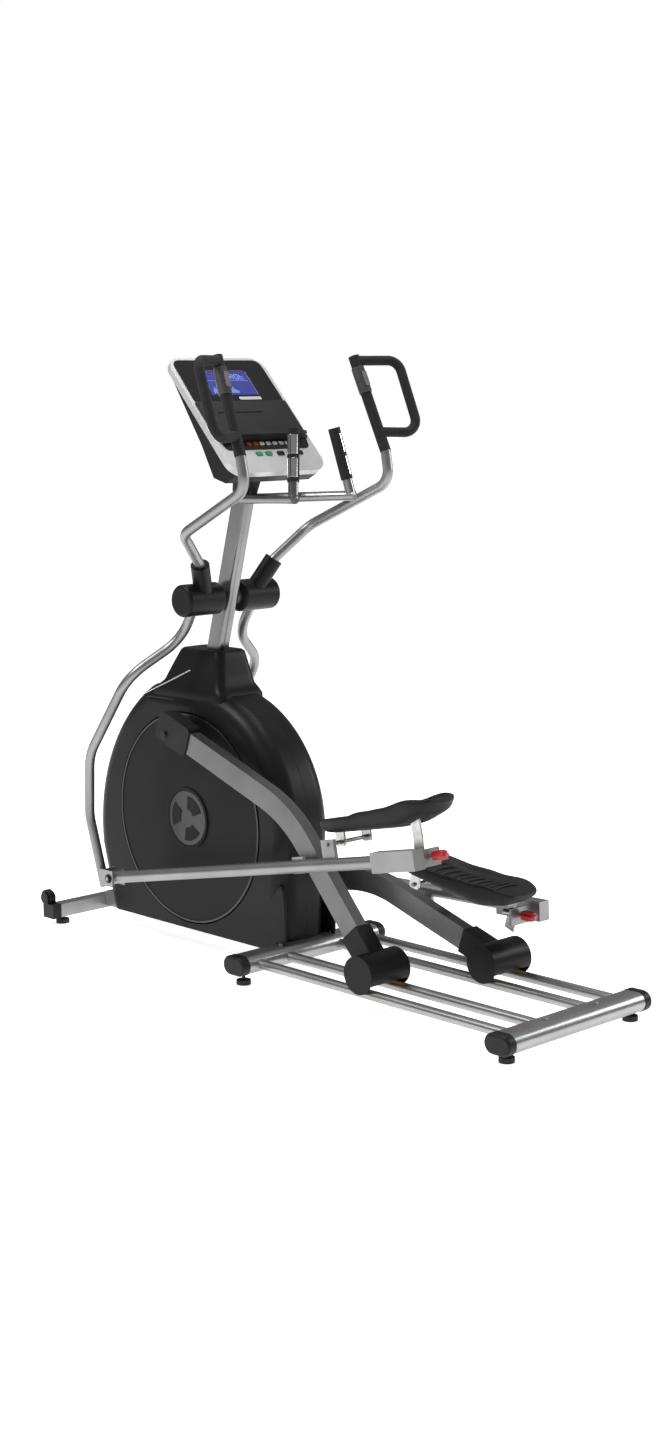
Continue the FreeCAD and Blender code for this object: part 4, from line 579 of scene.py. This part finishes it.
def pedal_ring(u):
    """One cross-section of the dish, from toe (0) to heel (1)."""
    rim, keel, half = along_steps(RIM, u), along_steps(KEEL, u), along_steps(HALF, u)
    floor_at = rim - along_steps(DISH, u)
    wall = [(half - 0.020, keel), (half - 0.004, keel + (rim - keel) * 0.30),
            (half, rim - (rim - keel) * 0.22), (half - 0.003, rim), (half - 0.011, rim),
            (half - 0.017, floor_at + (rim - floor_at) * 0.3), (half - 0.026, floor_at)]
    y = AHEAD - LENGTH * u
    return ([(x, y, z) for x, z in wall] + [(0, y, floor_at)]
            + [(-x, y, z) for x, z in reversed(wall)] + [(0, y, keel)])


for word, side in SIDES:
    dress(lever_coat, f"pedal_arm_{word}", ease=0.002)
    screw = joints[f"knob_turn_{word}"]
    axis = Vector(screw["axis"])
    lie = axis.to_track_quat("Z", "Y").to_matrix().to_4x4()
    body = f"tilt_knob_{word}"

    def on_screw(back, screw=screw, lie=lie):
        return Matrix.Translation(screw["pos_m"]) @ lie @ Matrix.Translation((0, 0, back))

    worm = loft(f"worm_{word}", turned(0.051, 24, 68, lambda u, a: 0.0082 + 0.0014 * abs(
        ((u * 8.5 - a / (2 * math.pi)) % 1) * 2 - 1) - (0.002 if u in (0, 1) else 0)),
        on_screw(0.0006))
    worm = piece_from(f"worm_screw_{word}", worm, zinc, body)
    stem = loft(f"stem_{word}", turned(0.020, 20, 3, lambda u, a: 0.0058), on_screw(-0.0195))
    piece_from(f"worm_stem_{word}", stem, zinc, body)
    knob = loft(f"knob_{word}", turned(0.047, 60, 10, lambda u, a: (
        0.0148 - 0.003 * u ** 3 - 0.0035 * (1 - u) ** 6 + 0.0016 * math.cos(6 * a))),
        on_screw(-0.0655))
    knob = piece_from(f"tilt_handle_{word}", knob, knob_red, body)
    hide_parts(f"tilt_knob_{word}")

    hinge = joints[f"pedal_tilt_{word}"]
    pitch = math.atan2(axis.z, axis.y) + (PEDAL_TILT if side > 0 else 0)
    sole = (Matrix.Translation((side * PEDAL_OUT, hinge["pos_m"][1], hinge["pos_m"][2]))
            @ Matrix.Rotation(pitch, 4, "X"))
    body = f"pedal_{word}"
    stations = ([0, 0.015, 0.05, 0.1] + [0.1 + 0.06 * k for k in range(1, 14)]
                + [0.93, 0.97, 0.99, 1])
    dish = piece_from(f"foot_plate_{word}", loft("dish", [pedal_ring(u) for u in stations], sole),
                      pedal_black, body)
    dish.modifiers.new("round", "SUBSURF").render_levels = 2
    dish.modifiers["round"].levels = 2
    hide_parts(f"pedal_{word}")
    treads = []
    for k in range(TREADS):
        u = FIRST_TREAD + TREAD_STEP * k
        y = AHEAD - LENGTH * u
        height = along_steps(RIM, u) - along_steps(DISH, u)
        beyond = u + SLOPE_STEP
        next_height = along_steps(RIM, beyond) - along_steps(DISH, beyond)
        lean = math.atan2(height - next_height, SLOPE_STEP * LENGTH)
        bar = arc_band(0.110, 0.101, math.pi / 2 - 0.46, 0.92, 12)
        bar = [spot - Vector((0, 0.105)) for spot in bar]
        spot = sole @ Matrix.Translation((0, y, height - 0.0006)) @ Matrix.Rotation(lean, 4, "X")
        treads.append(sheet_of([bar], 0.0042, 0, spot, bevel=0.0012))
    piece_from(f"tread_ribs_{word}", joined("treads", treads), tread_black, body)
    upright = facing_out(1)
    lug = rounded([(-0.018, 0.036), (-0.020, -0.013), (0.020, -0.013), (0.018, 0.036)], 0.012)
    pin_hole = ring_of(0.0061, 32)
    for k, x in enumerate((-0.054, 0.050)):
        plate = sheet_of([lug, pin_hole], 0.006, 0, sole @ Matrix.Translation((side * x, 0, 0))
                         @ upright, bevel=0.0008)
        piece_from(f"hinge_lug_{word}_{k}", plate, zinc, body)
    quadrant = arc_band(0.321, 0.285, math.pi - 0.20, 0.36)
    plate = sheet_of([quadrant], 0.005, 0, sole @ Matrix.Translation((side * 0.043 + 0.001, 0, 0))
                     @ upright, bevel=0.0008)
    piece_from(f"tilt_quadrant_{word}", plate, zinc, body)

# --- Studio ----------------------------------------------------------------
# A pale seamless floor, soft lights from the left, overhead and the right rear,
# and a dome that brightens upwards; the camera itself sees plain white behind.
floor_paint = bpy.data.materials.new("studio_floor")
floor_paint.use_nodes = True
floor_look = floor_paint.node_tree.nodes["Principled BSDF"].inputs
for socket, value in (("Base Color", grey(0.93)), ("Roughness", 0.75),
                      ("Emission Color", grey(1)), ("Emission Strength", 0.80)):
    floor_look[socket].default_value = value
FLOOR = 60
floor_mesh = bpy.data.meshes.new("studio_floor")
floor_mesh.from_pydata([(-FLOOR, -FLOOR, 0), (FLOOR, -FLOOR, 0), (FLOOR, FLOOR, 0),
                        (-FLOOR, FLOOR, 0)], [], [(0, 1, 2, 3)])
floor = bpy.data.objects.new("studio_floor", floor_mesh)
floor_mesh.materials.append(floor_paint)
bpy.context.scene.collection.objects.link(floor)
world = bpy.data.worlds.new("studio")
bpy.context.scene.world = world
world.use_nodes = True
sky = world.node_tree
seen, path, up = (sky.nodes.new(f"ShaderNode{kind}") for kind in
                  ("MixShader", "LightPath", "TexCoord"))
backdrop, split, fade = (sky.nodes.new(f"ShaderNode{kind}") for kind in
                         ("Background", "SeparateXYZ", "MapRange"))
dome = sky.nodes["Background"]
sky.links.new(up.outputs["Generated"], split.inputs["Vector"])
sky.links.new(split.outputs["Z"], fade.inputs["Value"])
fade.inputs["From Min"].default_value, fade.inputs["From Max"].default_value = -0.1, 0.9
fade.inputs["To Min"].default_value, fade.inputs["To Max"].default_value = 0.03, 0.40
sky.links.new(fade.outputs["Result"], dome.inputs["Strength"])
for glow in (dome, backdrop):
    glow.inputs["Color"].default_value = (1, 1, 1, 1)
sky.links.new(path.outputs["Is Camera Ray"], seen.inputs["Fac"])
sky.links.new(dome.outputs["Background"], seen.inputs[1])
sky.links.new(backdrop.outputs["Background"], seen.inputs[2])
sky.links.new(seen.outputs["Shader"], sky.nodes["World Output"].inputs["Surface"])


def softbox(name, spot, target, width, power):
    """A square area light that points at a target."""
    lamp = bpy.data.lights.new(name, "AREA")
    lamp.shape, lamp.size, lamp.energy = "SQUARE", width, power
    holder = bpy.data.objects.new(name, lamp)
    holder.location = spot
    holder.rotation_mode = "QUATERNION"
    aim = Vector(target) - Vector(spot)
    holder.rotation_quaternion = aim.to_track_quat("-Z", "Y")
    bpy.context.scene.collection.objects.link(holder)


softbox("key", (-3.2, 1.6, 4.6), (0, 0, 0.7), 1.8, 160)
softbox("top", (0.6, 0.2, 5.0), (0, 0, 0.5), 2.4, 130)
softbox("side", (4.2, -2.6, 2.4), (0, 0, 0.8), 1.6, 80)

yaw, pitch, roll = math.radians(43.786), math.radians(8.706), math.radians(-0.511)
ahead = Vector((math.sin(yaw) * math.cos(pitch), math.cos(yaw) * math.cos(pitch),
                -math.sin(pitch)))
across = Vector((math.cos(yaw), -math.sin(yaw), 0))
above = across.cross(ahead)
right = across * math.cos(roll) + above * math.sin(roll)
top = -across * math.sin(roll) + above * math.cos(roll)
lens = bpy.data.cameras.new("camera")
lens.lens, lens.sensor_width, lens.shift_y = 52.87, 36.0, -12 / 1440
lens.clip_end = 500
camera = bpy.data.objects.new("camera", lens)
turn = Matrix((right, top, -ahead)).transposed().to_4x4()
camera.matrix_world = Matrix.Translation((-4.3103, -4.5888, 1.7729)) @ turn
bpy.context.scene.collection.objects.link(camera)
bpy.context.scene.camera = camera
bpy.context.scene.view_settings.view_transform = "Standard"
